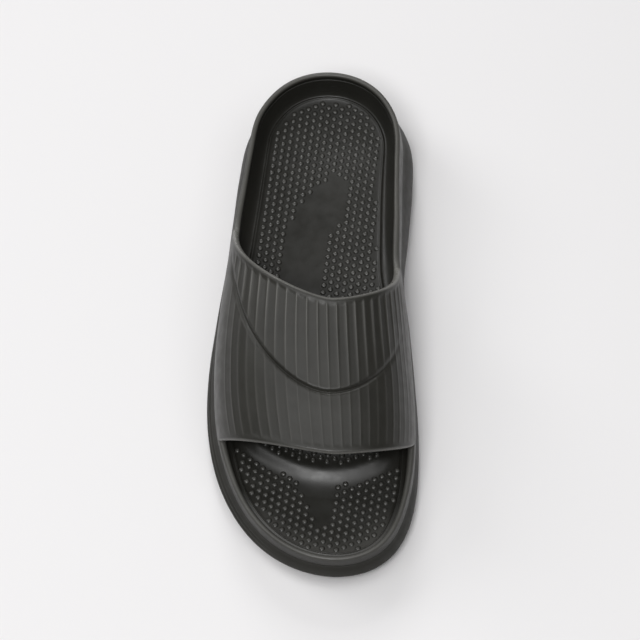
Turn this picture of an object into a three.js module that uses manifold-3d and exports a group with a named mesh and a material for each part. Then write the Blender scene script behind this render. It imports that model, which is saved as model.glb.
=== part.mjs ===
// A sport slide sandal for the right foot, in millimetres: a moulded sole, a moulded ribbed strap with its rim,
// and a footbed. The toe points to -Y, +X is the inner side of the foot and +Z is up. It stands on Z = 0.
import * as THREE from 'three'
import Module from 'manifold-3d'

const wasm = await Module()
wasm.setup()

// Driving sizes of the last and the sole
const LENGTH = 288 // heel to toe along the widest outline
const BALL_WIDTH = 112 // across the ball of the foot
const HEEL_RIM = 46 // floor to the top of the rim behind the heel
const SEAM_HEIGHT = 32 // floor to the seam between sole and upper at the heel
const HEEL_BED = 30 // floor to the footbed under the heel
const INSTEP = 80 // floor to the outside of the strap over the instep
const TOE_SPRING = 7.5 // floor to the underside of the toe tip
const ARCH_RISE = 1.8 // hollow under the waist
const CLEARANCE = 0.3 // between pieces that meet

// Sizes of the sole's side
const SIDE_BEVEL = 6 // how far the bottom edge is rounded in
const SIDE_LEAN = 5.5 // how far the side leans in from its widest line to the seam
const EDGE_ROUND = 0.5 // rounding of the edge under the seam
const LINE_DEPTH = 0.7 // fine lines along the outer side of the forefoot

// Sizes of the upper
const STRAP_WALL = 3.8 // foam thickness of the strap
const RIM_WALL = 3 // foam thickness of the rim
const HEEL_LEAN = 0.11 // inward lean of the heel rim, for each unit of height
const CROWN_SHIFT = 0.1 // the crown lies this share of the half width towards the inner side
const RIB_DEPTH = 0.8 // valleys between the ribs
const RIB_COUNT = 28
const SMILE_DEPTH = 1.3 // the curved groove across the strap
const SMILE_WIDTH = 2.4
const SMILE_START = 0.12 // share of the way across the strap where the groove begins

// Sizes of the footbed
const BED_THICKNESS = 6.5
const BEAD_HEIGHT = 0.8
const EDGE_DROP = 2.4 // how far the edge lies below the rim
const EDGE_CLIMB = 7 // how far the edge rises above the bed under the strap
const EDGE_SLOPE = 7.5 // width of the slope from edge to bead
const BED_DISH = 3.2 // rise from the bed's middle to the bead
const TOE_RIDGE = 3.4 // height of the ridge under the toes
const RIDGE_PLACE = 0.804 // its share of the length from the heel, on the crown's line
const RIDGE_BOW = 0.098 // how much nearer the heel it runs at the outline, as a share of the length
const RIDGE_REAR = 16 // half its width on the heel's side
const RIDGE_FRONT = 8 // half its width on the toe's side
const BEAD_RUN = 1.05 // the bead's crest lies this share of the slope's width from the edge
const BED_START = 1.25 // the dotted bed starts this share of it from the edge

// Sizes of the tread
const TREAD_PITCH = 13
const TREAD_GROOVE = 3.2
const TREAD_DEPTH = 2.6
const TREAD_BORDER = 9 // left whole inside the outline
const TREAD_WAVE = 2.6 // half height of each groove's zigzag
const TREAD_WAVELENGTH = 30
const TREAD_DRAFT = 0.7 // a groove's width at its roof, as a share of its width at the floor

// Fineness of the meshes
const SIDE_STATIONS = 40
const BED_STATIONS = 52
const HEEL_STATIONS = 26
const TOE_STATIONS = 22
const WALL_ROWS = 3
const LIP_STEPS = 3

// The outline, from heel (at 0) to toe (at 1): half is the half width over that of an ellipse, as a share of half
// the ball width, and bow is how far the middle lies to the inner side, as a share of the ball width.
const OUTLINE = [
  { at: 0.0, half: 1.5, bow: 0.005 },
  { at: 0.05, half: 1.395, bow: 0.005 },
  { at: 0.1, half: 1.295, bow: 0.004 },
  { at: 0.2, half: 1.064, bow: 0.001 },
  { at: 0.3, half: 0.936, bow: -0.004 },
  { at: 0.4, half: 0.879, bow: -0.0105 },
  { at: 0.5, half: 0.925, bow: 0.002 },
  { at: 0.6, half: 0.998, bow: 0.016 },
  { at: 0.7, half: 1.089, bow: 0.04 },
  { at: 0.8, half: 1.191, bow: 0.077 },
  { at: 0.9, half: 1.318, bow: 0.128 },
  { at: 1.0, half: 1.5, bow: 0.187 },
]

// How far the side leans in up to the seam, as shares of the side lean, on the outer and the inner side.
const LEAN = [
  { at: 0.0, outer: 0.73, inner: 0.73 },
  { at: 0.1, outer: 1.0, inner: 1.0 },
  { at: 0.2, outer: 0.95, inner: 0.95 },
  { at: 0.3, outer: 0.76, inner: 0.62 },
  { at: 0.4, outer: 0.65, inner: 0.24 },
  { at: 0.5, outer: 0.69, inner: 0.18 },
  { at: 0.6, outer: 0.8, inner: 0.22 },
  { at: 0.7, outer: 0.91, inner: 0.25 },
  { at: 0.8, outer: 0.91, inner: 0.36 },
  { at: 0.9, outer: 0.73, inner: 0.55 },
  { at: 1.0, outer: 0.55, inner: 0.55 },
]

// The underside: spring is a share of the toe spring and arch a share of the arch rise.
const UNDERSIDE = [
  { at: 0.0, spring: 0.28, arch: 0 },
  { at: 0.06, spring: 0.0, arch: 0 },
  { at: 0.3, spring: 0.0, arch: 0 },
  { at: 0.36, spring: 0.0, arch: 0.7 },
  { at: 0.42, spring: 0.0, arch: 1 },
  { at: 0.48, spring: 0.0, arch: 0.7 },
  { at: 0.54, spring: 0.0, arch: 0 },
  { at: 0.72, spring: 0.0, arch: 0 },
  { at: 0.8, spring: 0.1, arch: 0 },
  { at: 0.88, spring: 0.36, arch: 0 },
  { at: 0.94, spring: 0.64, arch: 0 },
  { at: 1.0, spring: 1.0, arch: 0 },
]

// Heights along the foot: seam is a share of the seam height, rim a share of the heel rim, bed a share of the heel
// bed, and crown a share of the instep.
const PROFILE = [
  { at: 0.0, seam: 1.0, rim: 1.0, bed: 1.0, crown: 1.15 },
  { at: 0.1, seam: 1.0, rim: 0.985, bed: 1.0, crown: 1.15 },
  { at: 0.2, seam: 0.97, rim: 0.945, bed: 1.0, crown: 1.14 },
  { at: 0.3, seam: 0.91, rim: 0.91, bed: 0.98, crown: 1.12 },
  { at: 0.4, seam: 0.83, rim: 0.9, bed: 0.93, crown: 1.09 },
  { at: 0.5, seam: 0.74, rim: 0.82, bed: 0.85, crown: 1.02 },
  { at: 0.6, seam: 0.65, rim: 0.7, bed: 0.77, crown: 0.94 },
  { at: 0.7, seam: 0.57, rim: 0.58, bed: 0.7, crown: 0.86 },
  { at: 0.8, seam: 0.53, rim: 0.51, bed: 0.67, crown: 0.78 },
  { at: 0.9, seam: 0.54, rim: 0.49, bed: 0.64, crown: 0.71 },
  { at: 1.0, seam: 0.58, rim: 0.5, bed: 0.64, crown: 0.66 },
]

// The footbed's edge: drop, climb, slope and dish are shares of the sizes of the same names, and held is the share
// in which the strap decides the edge's height, and not the rim.
const BED_EDGE = [
  { at: 0.0, held: 0, drop: 1.0, climb: 0.86, slope: 0.7, dish: 1.0 },
  { at: 0.1, held: 0, drop: 1.0, climb: 0.86, slope: 0.76, dish: 1.0 },
  { at: 0.3, held: 0, drop: 1.0, climb: 0.86, slope: 0.96, dish: 0.88 },
  { at: 0.42, held: 1, drop: 0.83, climb: 1.0, slope: 0.93, dish: 0.75 },
  { at: 0.55, held: 1, drop: 0.67, climb: 0.79, slope: 0.73, dish: 0.5 },
  { at: 0.7, held: 1, drop: 0.58, climb: 0.37, slope: 0.53, dish: 0.31 },
  { at: 0.8, held: 0, drop: 0.5, climb: 0.29, slope: 0.4, dish: 0.3 },
  { at: 0.9, held: 0, drop: 0.46, climb: 0.29, slope: 0.3, dish: 0.7 },
  { at: 1.0, held: 0, drop: 0.42, climb: 0.29, slope: 0.21, dish: 0.85 },
]

// The side of the sole from the bottom edge (rise 0) to the rounded edge at the seam (rise 1): bevel and line are
// shares of the sizes of the same names, and lean is a share of the lean at that place.
const SIDE = [
  { rise: 0.0, bevel: 1.0, lean: 0, line: 0 },
  { rise: 0.05, bevel: 0.66, lean: 0, line: 0 },
  { rise: 0.14, bevel: 0.32, lean: 0, line: 0 },
  { rise: 0.28, bevel: 0.08, lean: 0, line: 0 },
  { rise: 0.42, bevel: 0.0, lean: 0.03, line: 0 },
  { rise: 0.53, bevel: 0.0, lean: 0.12, line: 0 },
  { rise: 0.56, bevel: 0.0, lean: 0.15, line: 1 },
  { rise: 0.59, bevel: 0.0, lean: 0.2, line: 0 },
  { rise: 0.7, bevel: 0.0, lean: 0.38, line: 0 },
  { rise: 0.73, bevel: 0.0, lean: 0.42, line: 1 },
  { rise: 0.76, bevel: 0.0, lean: 0.48, line: 0 },
  { rise: 0.95, bevel: 0.0, lean: 0.92, line: 0 },
  { rise: 1.0, bevel: 0.0, lean: 1.0, line: 0 },
]

// Where the strap's edges run, as shares of the length from the heel: the two low corners and the middle of the
// throat edge, of the curved groove and of the front edge.
const STRAP = {
  throat: { outer: 0.363, middle: 0.566, inner: 0.427, peak: 0.548, lead: 1.63, hook: 0.94 },
  smile: { outer: 0.35, middle: 0.729, inner: 0.5, peak: 0.526, lead: 1.93, hook: 1.21 },
  front: { outer: 0.764, middle: 0.832, inner: 0.75, peak: 0.527, lead: 1.65, hook: 1.09 },
}

// Rows from the throat edge to the front edge: part 0 to 1 runs from throat to groove and 1 to 2 from groove to
// front, while foot is the share of the way along the rim at either side. ribs and smile are the shares of their
// depths in that row, and beside steps off the groove's middle by half its width.
const STRAP_ROWS = [
  { part: 0.0, foot: 0, ribs: 0, smile: 0 },
  { part: 0.07, foot: 0.05, ribs: 0.2, smile: 0 },
  { part: 0.16, foot: 0.11, ribs: 1, smile: 0 },
  { part: 0.4, foot: 0.24, ribs: 1, smile: 0 },
  { part: 0.7, foot: 0.37, ribs: 1, smile: 0 },
  { part: 1.0, foot: 0.48, ribs: 1, smile: 0, beside: -1 },
  { part: 1.0, foot: 0.51, ribs: 1, smile: 1, beside: 0 },
  { part: 1.0, foot: 0.54, ribs: 1, smile: 0, beside: 1 },
  { part: 1.35, foot: 0.66, ribs: 1, smile: 0 },
  { part: 1.65, foot: 0.78, ribs: 1, smile: 0 },
  { part: 1.88, foot: 0.91, ribs: 0.8, smile: 0 },
  { part: 2.0, foot: 1, ribs: 0, smile: 0 },
]

// A smooth curve through one column of a table that never overshoots its rows.
function columnOf(table, name) {
  const xs = table.map((row) => row.at)
  const ys = table.map((row) => row[name])
  const steps = xs.slice(1).map((x, i) => (ys[i + 1] - ys[i]) / (x - xs[i]))
  const slopes = xs.map((_, i) => {
    if (i === 0) return steps[0]
    if (i === xs.length - 1) return steps[i - 1]
    if (steps[i - 1] * steps[i] <= 0) return 0
    return (2 * steps[i - 1] * steps[i]) / (steps[i - 1] + steps[i])
  })
  return (x) => {
    let i = 0
    while (i < xs.length - 2 && x > xs[i + 1]) i += 1
    const width = xs[i + 1] - xs[i]
    const t = Math.min(1, Math.max(0, (x - xs[i]) / width))
    const bend = t * t * (3 - 2 * t)
    return (
      ys[i] * (1 - bend) +
      ys[i + 1] * bend +
      width * (slopes[i] * t * (1 - t) * (1 - t) - slopes[i + 1] * t * t * (1 - t))
    )
  }
}

const halfShare = columnOf(OUTLINE, 'half')
const bowShare = columnOf(OUTLINE, 'bow')
const springShare = columnOf(UNDERSIDE, 'spring')
const archShare = columnOf(UNDERSIDE, 'arch')
const outerLean = columnOf(LEAN, 'outer')
const innerLean = columnOf(LEAN, 'inner')
const seamShare = columnOf(PROFILE, 'seam')
const rimShare = columnOf(PROFILE, 'rim')
const bedShare = columnOf(PROFILE, 'bed')
const crownShare = columnOf(PROFILE, 'crown')
const edgeHeld = columnOf(BED_EDGE, 'held')
const dropShare = columnOf(BED_EDGE, 'drop')
const climbShare = columnOf(BED_EDGE, 'climb')
const slopeShare = columnOf(BED_EDGE, 'slope')
const dishShare = columnOf(BED_EDGE, 'dish')

const mix = (a, b, t) => a + (b - a) * t
const clamp = (x, low, high) => Math.min(high, Math.max(low, x))
const smooth = (x, low, high) => {
  const t = clamp((x - low) / (high - low), 0, 1)
  return t * t * (3 - 2 * t)
}

// The last in plan. A station is an angle: 0 at the heel tip, a half turn at the toe tip, the outer side first.
const shareOfAngle = (angle) => (1 - Math.cos(angle)) / 2
const angleOfShare = (at) => Math.acos(1 - 2 * at)
const yOfShare = (at) => LENGTH * (0.5 - at)
const shareOfY = (y) => clamp(0.5 - y / LENGTH, 0, 1)
const middleX = (at) => BALL_WIDTH * bowShare(at)
const halfWidth = (at) => (BALL_WIDTH / 2) * halfShare(at) * Math.sqrt(Math.max(0, 4 * at * (1 - at)))

function outlinePoint(angle) {
  const at = shareOfAngle(angle)
  return new THREE.Vector2(middleX(at) + sideOfAngle(angle) * halfWidth(at), yOfShare(at))
}

function inwardNormal(angle) {
  const step = 0.01
  const along = outlinePoint(angle + step).sub(outlinePoint(angle - step)).normalize()
  return new THREE.Vector2(-along.y, along.x)
}

// Heights on the sole and the last at a share of the length.
const undersideZ = (at) => TOE_SPRING * springShare(at) + ARCH_RISE * archShare(at)
const seamZ = (at) => SEAM_HEIGHT * seamShare(at)
const rimZ = (at) => HEEL_RIM * rimShare(at)
const upperBaseZ = (at) => seamZ(at) + CLEARANCE
const bedMiddleZ = (at) => HEEL_BED * bedShare(at)
const seatMiddleZ = (at) => bedMiddleZ(at) - BED_THICKNESS

// The side of the foot at a station's angle (-1 is the outer side), and how far inside the outline the seam lies
// there, where the upper stands flush on the sole.
const sideOfAngle = (angle) => (Math.sin(angle) >= 0 ? -1 : 1)
const seamInset = (at, side) => SIDE_LEAN * (side < 0 ? outerLean(at) : innerLean(at))

// The middle line towards which the rings of sole and footbed close, and a point on the way to it.
const SPINE_START = 0.17
const SPINE_END = 0.86
const spineShare = (angle) => clamp(shareOfAngle(angle), SPINE_START, SPINE_END)

function ringPlan(angle, inset, towardSpine = 0) {
  const edge = outlinePoint(angle).addScaledVector(inwardNormal(angle), inset)
  const spineAt = spineShare(angle)
  return edge.lerp(new THREE.Vector2(middleX(spineAt), yOfShare(spineAt)), towardSpine)
}

function ringPlanByWidth(angle, inset, width) {
  const edge = ringPlan(angle, inset)
  const spine = ringPlan(angle, inset, 1)
  return edge.lerp(spine, Math.min(1, width / edge.distanceTo(spine)))
}

// A closed skin is gathered face by face, and points that coincide become one.
class Skin {
  constructor() {
    this.points = []
    this.faces = []
    this.known = new Map()
  }

  index(point) {
    const key = [point.x, point.y, point.z].map((value) => Math.round(value * 1e4)).join()
    if (!this.known.has(key)) {
      this.known.set(key, this.points.length)
      this.points.push(point.clone())
    }
    return this.known.get(key)
  }

  triangle(a, b, c) {
    const [i, j, k] = [this.index(a), this.index(b), this.index(c)]
    if (i !== j && j !== k && k !== i) this.faces.push([i, j, k])
  }

  quad(a, b, c, d) {
    this.triangle(a, b, c)
    this.triangle(a, c, d)
  }

  // Joins two rows of points. The faces look to the left of a walk along the first row, seen from above it.
  strip(first, second) {
    for (let i = 0; i + 1 < first.length; i += 1) this.quad(first[i], first[i + 1], second[i + 1], second[i])
  }

  geometry() {
    const positions = this.points.flatMap((point) => point.toArray())
    const shape = new THREE.BufferGeometry()
    shape.setAttribute('position', new THREE.Float32BufferAttribute(positions, 3))
    shape.setIndex(this.faces.flat())
    return shape
  }
}

const closedAngles = (stations) =>
  Array.from({ length: 2 * stations + 1 }, (_, i) => (Math.PI * (i % (2 * stations))) / stations)

// A closed loft through rings, each a function from a station's angle to a point.
function loftSkin(rings, stations) {
  const skin = new Skin()
  const angles = closedAngles(stations)
  const rows = rings.map((ring) => angles.map(ring))
  for (let i = 0; i + 1 < rows.length; i += 1) skin.strip(rows[i], rows[i + 1])
  return skin
}

// The sole

// The fine lines of the outer side fade in from the waist to the ball, and out again at the toe.
const LINES_FADE_IN = [0.44, 0.6]
const LINES_FADE_OUT = [0.9, 0.98]
const lineShare = (angle) => {
  const at = shareOfAngle(angle)
  return sideOfAngle(angle) < 0 ? smooth(at, ...LINES_FADE_IN) * (1 - smooth(at, ...LINES_FADE_OUT)) : 0
}

function sideRing({ rise, bevel, lean, line }) {
  return (angle) => {
    const at = shareOfAngle(angle)
    const leaning = seamInset(at, sideOfAngle(angle)) * lean
    const plan = ringPlan(angle, SIDE_BEVEL * bevel + leaning + LINE_DEPTH * line * lineShare(angle))
    return new THREE.Vector3(plan.x, plan.y, mix(undersideZ(at), seamZ(at) - EDGE_ROUND, rise))
  }
}

function undersideRing(towardSpine) {
  return (angle) => {
    const plan = ringPlan(angle, SIDE_BEVEL, towardSpine)
    return new THREE.Vector3(plan.x, plan.y, undersideZ(shareOfY(plan.y)))
  }
}

// The rounded edge at the seam, as a turn from the side (0) to the sole's top (a quarter turn).
function edgeRing(turn) {
  return (angle) => {
    const at = shareOfAngle(angle)
    const inset = seamInset(at, sideOfAngle(angle)) + EDGE_ROUND * (1 - Math.cos(turn))
    const plan = ringPlan(angle, inset)
    return new THREE.Vector3(plan.x, plan.y, seamZ(at) - EDGE_ROUND * (1 - Math.sin(turn)))
  }
}

// The sole's top under upper and footbed, and the footbed's underside above it.
function seatRing(inset, towardSpine, lift) {
  return (angle) => {
    const plan = ringPlan(angle, inset(angle), towardSpine)
    const edge = seamZ(shareOfAngle(angle))
    const middle = seatMiddleZ(spineShare(angle))
    return new THREE.Vector3(plan.x, plan.y, mix(edge, middle, smooth(towardSpine, 0, 0.75)) + lift)
  }
}

function treadGroove(y) {
  const at = shareOfY(y)
  const reach = halfWidth(at) - TREAD_BORDER
  const steps = 2 * Math.round((2 * reach) / TREAD_WAVELENGTH) - 1
  const roof = undersideZ(at) + TREAD_DEPTH
  const floor = undersideZ(at) - TREAD_DEPTH
  const skin = new Skin()
  const sections = Array.from({ length: steps + 1 }, (_, i) => {
    const x = middleX(at) + mix(-reach, reach, i / steps)
    const waveY = y + TREAD_WAVE * (i % 2 ? 1 : -1)
    const half = TREAD_GROOVE / 2
    const corners = [
      [half, floor],
      [half * TREAD_DRAFT, roof],
      [-half * TREAD_DRAFT, roof],
      [-half, floor],
      [half, floor],
    ]
    return corners.map(([offset, z]) => new THREE.Vector3(x, waveY + offset, z))
  })
  for (let i = 0; i < steps; i += 1) skin.strip(sections[i], sections[i + 1])
  skin.quad(sections[0][3], sections[0][2], sections[0][1], sections[0][0])
  skin.quad(sections[steps][0], sections[steps][1], sections[steps][2], sections[steps][3])
  return skin.geometry()
}

function solidOf(geometry) {
  return new wasm.Manifold(
    new wasm.Mesh({
      numProp: 3,
      vertProperties: new Float32Array(geometry.attributes.position.array),
      triVerts: new Uint32Array(geometry.index.array),
    }),
  )
}

function geometryOf(solid) {
  const mesh = solid.getMesh()
  const shape = new THREE.BufferGeometry()
  shape.setAttribute('position', new THREE.BufferAttribute(mesh.vertProperties, 3))
  shape.setIndex(new THREE.BufferAttribute(mesh.triVerts, 1))
  return shape
}

function soleGeometry() {
  const seatInset = (angle) => seamInset(shareOfAngle(angle), sideOfAngle(angle)) + EDGE_ROUND
  const rings = [
    ...[1, 0.6, 0.25].map(undersideRing),
    ...SIDE.map(sideRing),
    ...[Math.PI / 4, Math.PI / 2].map(edgeRing),
    ...[0.15, 0.3, 0.6, 1].map((share) => seatRing(seatInset, share, 0)),
  ]
  let solid = solidOf(loftSkin(rings, SIDE_STATIONS).geometry())
  const run = LENGTH - 2 * TREAD_BORDER - TREAD_PITCH
  const count = Math.floor(run / TREAD_PITCH)
  for (let i = 0; i < count; i += 1) {
    const y = (i - (count - 1) / 2) * TREAD_PITCH
    solid = solid.subtract(solidOf(treadGroove(y)))
  }
  return geometryOf(solid)
}

// The upper: a shell over the last, whose sections are superellipses that start at the rim's base.

const ARCH_POWER = 2.35
const baseX = (at, side) => middleX(at) + side * (halfWidth(at) - seamInset(at, side))
const crownX = (at) => middleX(at) + CROWN_SHIFT * halfWidth(at)
const crownZ = (at) => INSTEP * crownShare(at)
const archSpan = (at, side) => Math.abs(crownX(at) - baseX(at, side))
const archHeight = (at) => crownZ(at) - upperBaseZ(at)
const angleOfRise = (rise) => Math.asin(clamp(rise, 0, 1) ** (ARCH_POWER / 2))

// The share of the arch in the wall: all of it beside the strap, none of it behind the heel and at the toe.
const STRAP_FADE_IN = [0.24, 0.38]
const STRAP_FADE_OUT = [0.77, 0.87]
const archShareOfWall = (at) => smooth(at, ...STRAP_FADE_IN) * (1 - smooth(at, ...STRAP_FADE_OUT))

const wallThickness = (at) => mix(RIM_WALL, STRAP_WALL, archShareOfWall(at))

function wallInset(at, side, height) {
  const rise = clamp(height / archHeight(at), 0, 1)
  const curved = archSpan(at, side) * (1 - (1 - rise ** ARCH_POWER) ** (1 / ARCH_POWER))
  return seamInset(at, side) + mix(HEEL_LEAN * height, curved, archShareOfWall(at))
}

// Even steps along the arch: the angle for a share of the way from the rim to the crown.
const REFERENCE = 0.65 // share of the length at which the steps are even
const ARC_SAMPLES = 200

function evenAngles(side) {
  const low = angleOfRise((rimZ(REFERENCE) - upperBaseZ(REFERENCE)) / archHeight(REFERENCE))
  const lengths = [0]
  let last = null
  for (let i = 0; i <= ARC_SAMPLES; i += 1) {
    const angle = mix(low, Math.PI / 2, i / ARC_SAMPLES)
    const point = new THREE.Vector2(
      archSpan(REFERENCE, side) * Math.cos(angle) ** (2 / ARCH_POWER),
      archHeight(REFERENCE) * Math.sin(angle) ** (2 / ARCH_POWER),
    )
    if (last) lengths.push(lengths[i - 1] + point.distanceTo(last))
    last = point
  }
  return (share) => {
    const goal = share * lengths[ARC_SAMPLES]
    const i = clamp(lengths.findIndex((length) => length >= goal), 1, ARC_SAMPLES)
    return (i - 1 + (goal - lengths[i - 1]) / (lengths[i] - lengths[i - 1])) / ARC_SAMPLES
  }
}

const evenOuter = evenAngles(-1)
const evenInner = evenAngles(1)

// A column of the strap: its place across the foot, from the outer base over the crown to the inner base.
const ARCH_COLUMNS = 2 * RIB_COUNT
const COLUMNS = Array.from({ length: 2 * WALL_ROWS + ARCH_COLUMNS + 1 }, (_, i) => {
  if (i <= WALL_ROWS) return { side: -1, wall: i / WALL_ROWS, across: 0 }
  if (i >= WALL_ROWS + ARCH_COLUMNS) {
    return { side: 1, wall: (2 * WALL_ROWS + ARCH_COLUMNS - i) / WALL_ROWS, across: 1 }
  }
  const across = (i - WALL_ROWS) / ARCH_COLUMNS
  return { side: across <= 0.5 ? -1 : 1, wall: 1, across, valley: (i - WALL_ROWS) % 2 }
})

function strapPoint(column, at) {
  const { side, wall, across } = column
  const height = archHeight(at)
  const rimRise = (rimZ(at) - upperBaseZ(at)) / height
  const lift = new THREE.Vector3(0, yOfShare(at), upperBaseZ(at))
  if (across === 0 || across === 1) {
    const wallHeight = wall * rimRise * height
    const plan = side * -1 * wallInset(at, side, wallHeight)
    return new THREE.Vector3(middleX(at) + side * halfWidth(at) + plan, lift.y, lift.z + wallHeight)
  }
  const share = side < 0 ? evenOuter(2 * across) : evenInner(2 - 2 * across)
  const angle = mix(angleOfRise(rimRise), Math.PI / 2, share)
  const reach = archSpan(at, side) * Math.cos(angle) ** (2 / ARCH_POWER)
  return new THREE.Vector3(
    crownX(at) + side * reach,
    lift.y,
    lift.z + height * Math.sin(angle) ** (2 / ARCH_POWER),
  )
}

// Where an edge or groove of the strap crosses a column.
function edgeShare(edge, across) {
  const t = across <= edge.peak ? across / edge.peak : (1 - across) / (1 - edge.peak)
  const corner = across <= edge.peak ? edge.outer : edge.inner
  return mix(corner, edge.middle, (1 - (1 - t) ** edge.lead) ** edge.hook)
}

function rowShare(row, across) {
  const throat = edgeShare(STRAP.throat, across)
  const smile = edgeShare(STRAP.smile, across)
  const front = edgeShare(STRAP.front, across)
  const step = ((row.beside ?? 0) * SMILE_WIDTH) / 2 / LENGTH
  const crossing = row.part < 1 ? mix(throat, smile, row.part) : mix(smile, front, row.part - 1)
  const inner = Math.min(across, 1 - across)
  return mix(mix(throat, front, row.foot), crossing + step, smooth(inner, 0, SMILE_START))
}

// How strongly ribs and groove show across the strap: both fade into smooth sides.
const RIBS_ACROSS = { from: [0.1, 0.16], to: [0.9, 0.96] }
const SMILE_ACROSS = { from: [0.06, 0.2], to: [0.62, 0.94] }
const fade = (across, { from, to }) => smooth(across, ...from) * (1 - smooth(across, ...to))

function strapNormal(column, at) {
  const step = 0.002
  const along = strapPoint(column, at + step).sub(strapPoint(column, at - step))
  const i = COLUMNS.indexOf(column)
  const before = strapPoint(COLUMNS[Math.max(0, i - 1)], at)
  const after = strapPoint(COLUMNS[Math.min(COLUMNS.length - 1, i + 1)], at)
  return after.sub(before).cross(along).normalize().negate()
}

function strapNode(column, row) {
  const at = rowShare(row, column.across)
  const smoothPoint = strapPoint(column, at)
  const normal = strapNormal(column, at)
  const isBase = column.wall === 0
  if (isBase) normal.setZ(0).normalize()
  const relief =
    RIB_DEPTH * row.ribs * (column.valley ? 1 : 0) * fade(column.across, RIBS_ACROSS) +
    SMILE_DEPTH * row.smile * fade(column.across, SMILE_ACROSS)
  return {
    outer: smoothPoint.clone().addScaledVector(normal, -relief),
    inner: smoothPoint.clone().addScaledVector(normal, -wallThickness(at)),
  }
}

function rimNode(angle, wall) {
  const at = shareOfAngle(angle)
  const height = wall * (rimZ(at) - upperBaseZ(at))
  const inset = wallInset(at, sideOfAngle(angle), height)
  const outer = ringPlan(angle, inset)
  const inner = ringPlan(angle, inset + wallThickness(at))
  const z = upperBaseZ(at) + height
  return { outer: new THREE.Vector3(outer.x, outer.y, z), inner: new THREE.Vector3(inner.x, inner.y, z) }
}

// Half-round points between the outer and inner edge of an opening.
function lipPoints(node, away) {
  const radius = node.outer.clone().sub(node.inner).multiplyScalar(0.5)
  const middle = node.outer.clone().add(node.inner).multiplyScalar(0.5)
  const across = radius.clone().normalize()
  const out = away.clone().addScaledVector(across, -away.dot(across)).normalize()
  return Array.from({ length: LIP_STEPS + 1 }, (_, i) => {
    if (i === 0) return node.outer
    if (i === LIP_STEPS) return node.inner
    const turn = (Math.PI * i) / LIP_STEPS
    return middle
      .clone()
      .addScaledVector(radius, Math.cos(turn))
      .addScaledVector(out, radius.length() * Math.sin(turn))
  })
}

function upperGeometry() {
  const skin = new Skin()
  const strap = STRAP_ROWS.map((row) => COLUMNS.map((column) => strapNode(column, row)))
  const lastRow = strap.length - 1
  const lastColumn = COLUMNS.length - 1
  const wallLevels = Array.from({ length: WALL_ROWS + 1 }, (_, i) => i / WALL_ROWS)

  // A rim runs from one strap corner to the other, sharing the strap's own nodes at both ends.
  const rim = (fromAngle, toAngle, stations, firstNodes, lastNodes) =>
    Array.from({ length: stations + 1 }, (_, i) => {
      if (i === 0) return firstNodes
      if (i === stations) return lastNodes
      return wallLevels.map((level) => rimNode(mix(fromAngle, toAngle, i / stations), level))
    })
  const outerColumn = (row) => strap[row].slice(0, WALL_ROWS + 1)
  const innerColumn = (row) => strap[row].slice(lastColumn - WALL_ROWS).reverse()
  const heel = rim(
    2 * Math.PI - angleOfShare(STRAP.throat.inner),
    2 * Math.PI + angleOfShare(STRAP.throat.outer),
    HEEL_STATIONS,
    innerColumn(0),
    outerColumn(0),
  )
  const toe = rim(
    angleOfShare(STRAP.front.outer),
    2 * Math.PI - angleOfShare(STRAP.front.inner),
    TOE_STATIONS,
    outerColumn(lastRow),
    innerColumn(lastRow),
  )

  const cover = (rows) => {
    for (let i = 0; i + 1 < rows.length; i += 1) {
      skin.strip(rows[i + 1].map((node) => node.outer), rows[i].map((node) => node.outer))
      skin.strip(rows[i].map((node) => node.inner), rows[i + 1].map((node) => node.inner))
    }
  }
  cover(strap)
  cover(heel)
  cover(toe)

  // The flat underside of the shell, all round.
  const base = [
    ...heel.slice(0, -1).map((column) => column[0]),
    ...strap.slice(0, -1).map((row) => row[0]),
    ...toe.slice(0, -1).map((column) => column[0]),
    ...strap.map((row) => row[lastColumn]).reverse(),
  ]
  skin.strip(base.map((node) => node.inner), base.map((node) => node.outer))

  // The rounded lip round each opening: up along the rim, back along the strap's edge.
  const rimLip = (columns) =>
    columns.map((column) => {
      const top = column[WALL_ROWS]
      return { node: top, away: top.outer.clone().sub(column[WALL_ROWS - 1].outer).normalize() }
    })
  const edgeLip = (edgeRow, nextRow) =>
    strap[edgeRow].slice(WALL_ROWS, lastColumn - WALL_ROWS + 1).map((node, i) => {
      const next = strap[nextRow][i + WALL_ROWS]
      return { node, away: node.inner.clone().sub(next.inner).normalize() }
    })
  const closeLip = (along, across) => {
    const last = across.length - 1
    along[along.length - 1].away.add(across[0].away)
    along[0].away.add(across[last].away)
    const loop = [...along, ...across.slice(1, -1), along[0]]
    const rows = loop.map(({ node, away }) => lipPoints(node, away))
    for (let i = 0; i + 1 < rows.length; i += 1) skin.strip(rows[i + 1], rows[i])
  }
  closeLip(rimLip(heel), edgeLip(0, 1))
  closeLip(rimLip(toe), edgeLip(lastRow, lastRow - 1).reverse())
  return skin.geometry()
}

// The footbed

function bedEdgeZ(at) {
  const free = rimZ(at) - EDGE_DROP * dropShare(at)
  const held = bedMiddleZ(at) + EDGE_CLIMB * climbShare(at)
  return mix(free, held, edgeHeld(at))
}

function bedWallInset(angle, height) {
  const at = shareOfAngle(angle)
  const inset = wallInset(at, sideOfAngle(angle), height)
  const lean = wallInset(at, sideOfAngle(angle), height + 1) - inset
  return inset + wallThickness(at) * Math.hypot(1, lean) + CLEARANCE
}

function bedUnderRing(towardSpine) {
  return seatRing((angle) => bedWallInset(angle, 0), towardSpine, CLEARANCE)
}

function bedSideRing(share) {
  return (angle) => {
    const at = shareOfAngle(angle)
    const height = share * (bedEdgeZ(at) - upperBaseZ(at))
    const plan = ringPlan(angle, bedWallInset(angle, height))
    return new THREE.Vector3(plan.x, plan.y, upperBaseZ(at) + height)
  }
}

const beadZ = (angle) => bedMiddleZ(spineShare(angle)) + BED_DISH * dishShare(shareOfAngle(angle))

const slopeWidth = (at) => EDGE_SLOPE * slopeShare(at)

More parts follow.
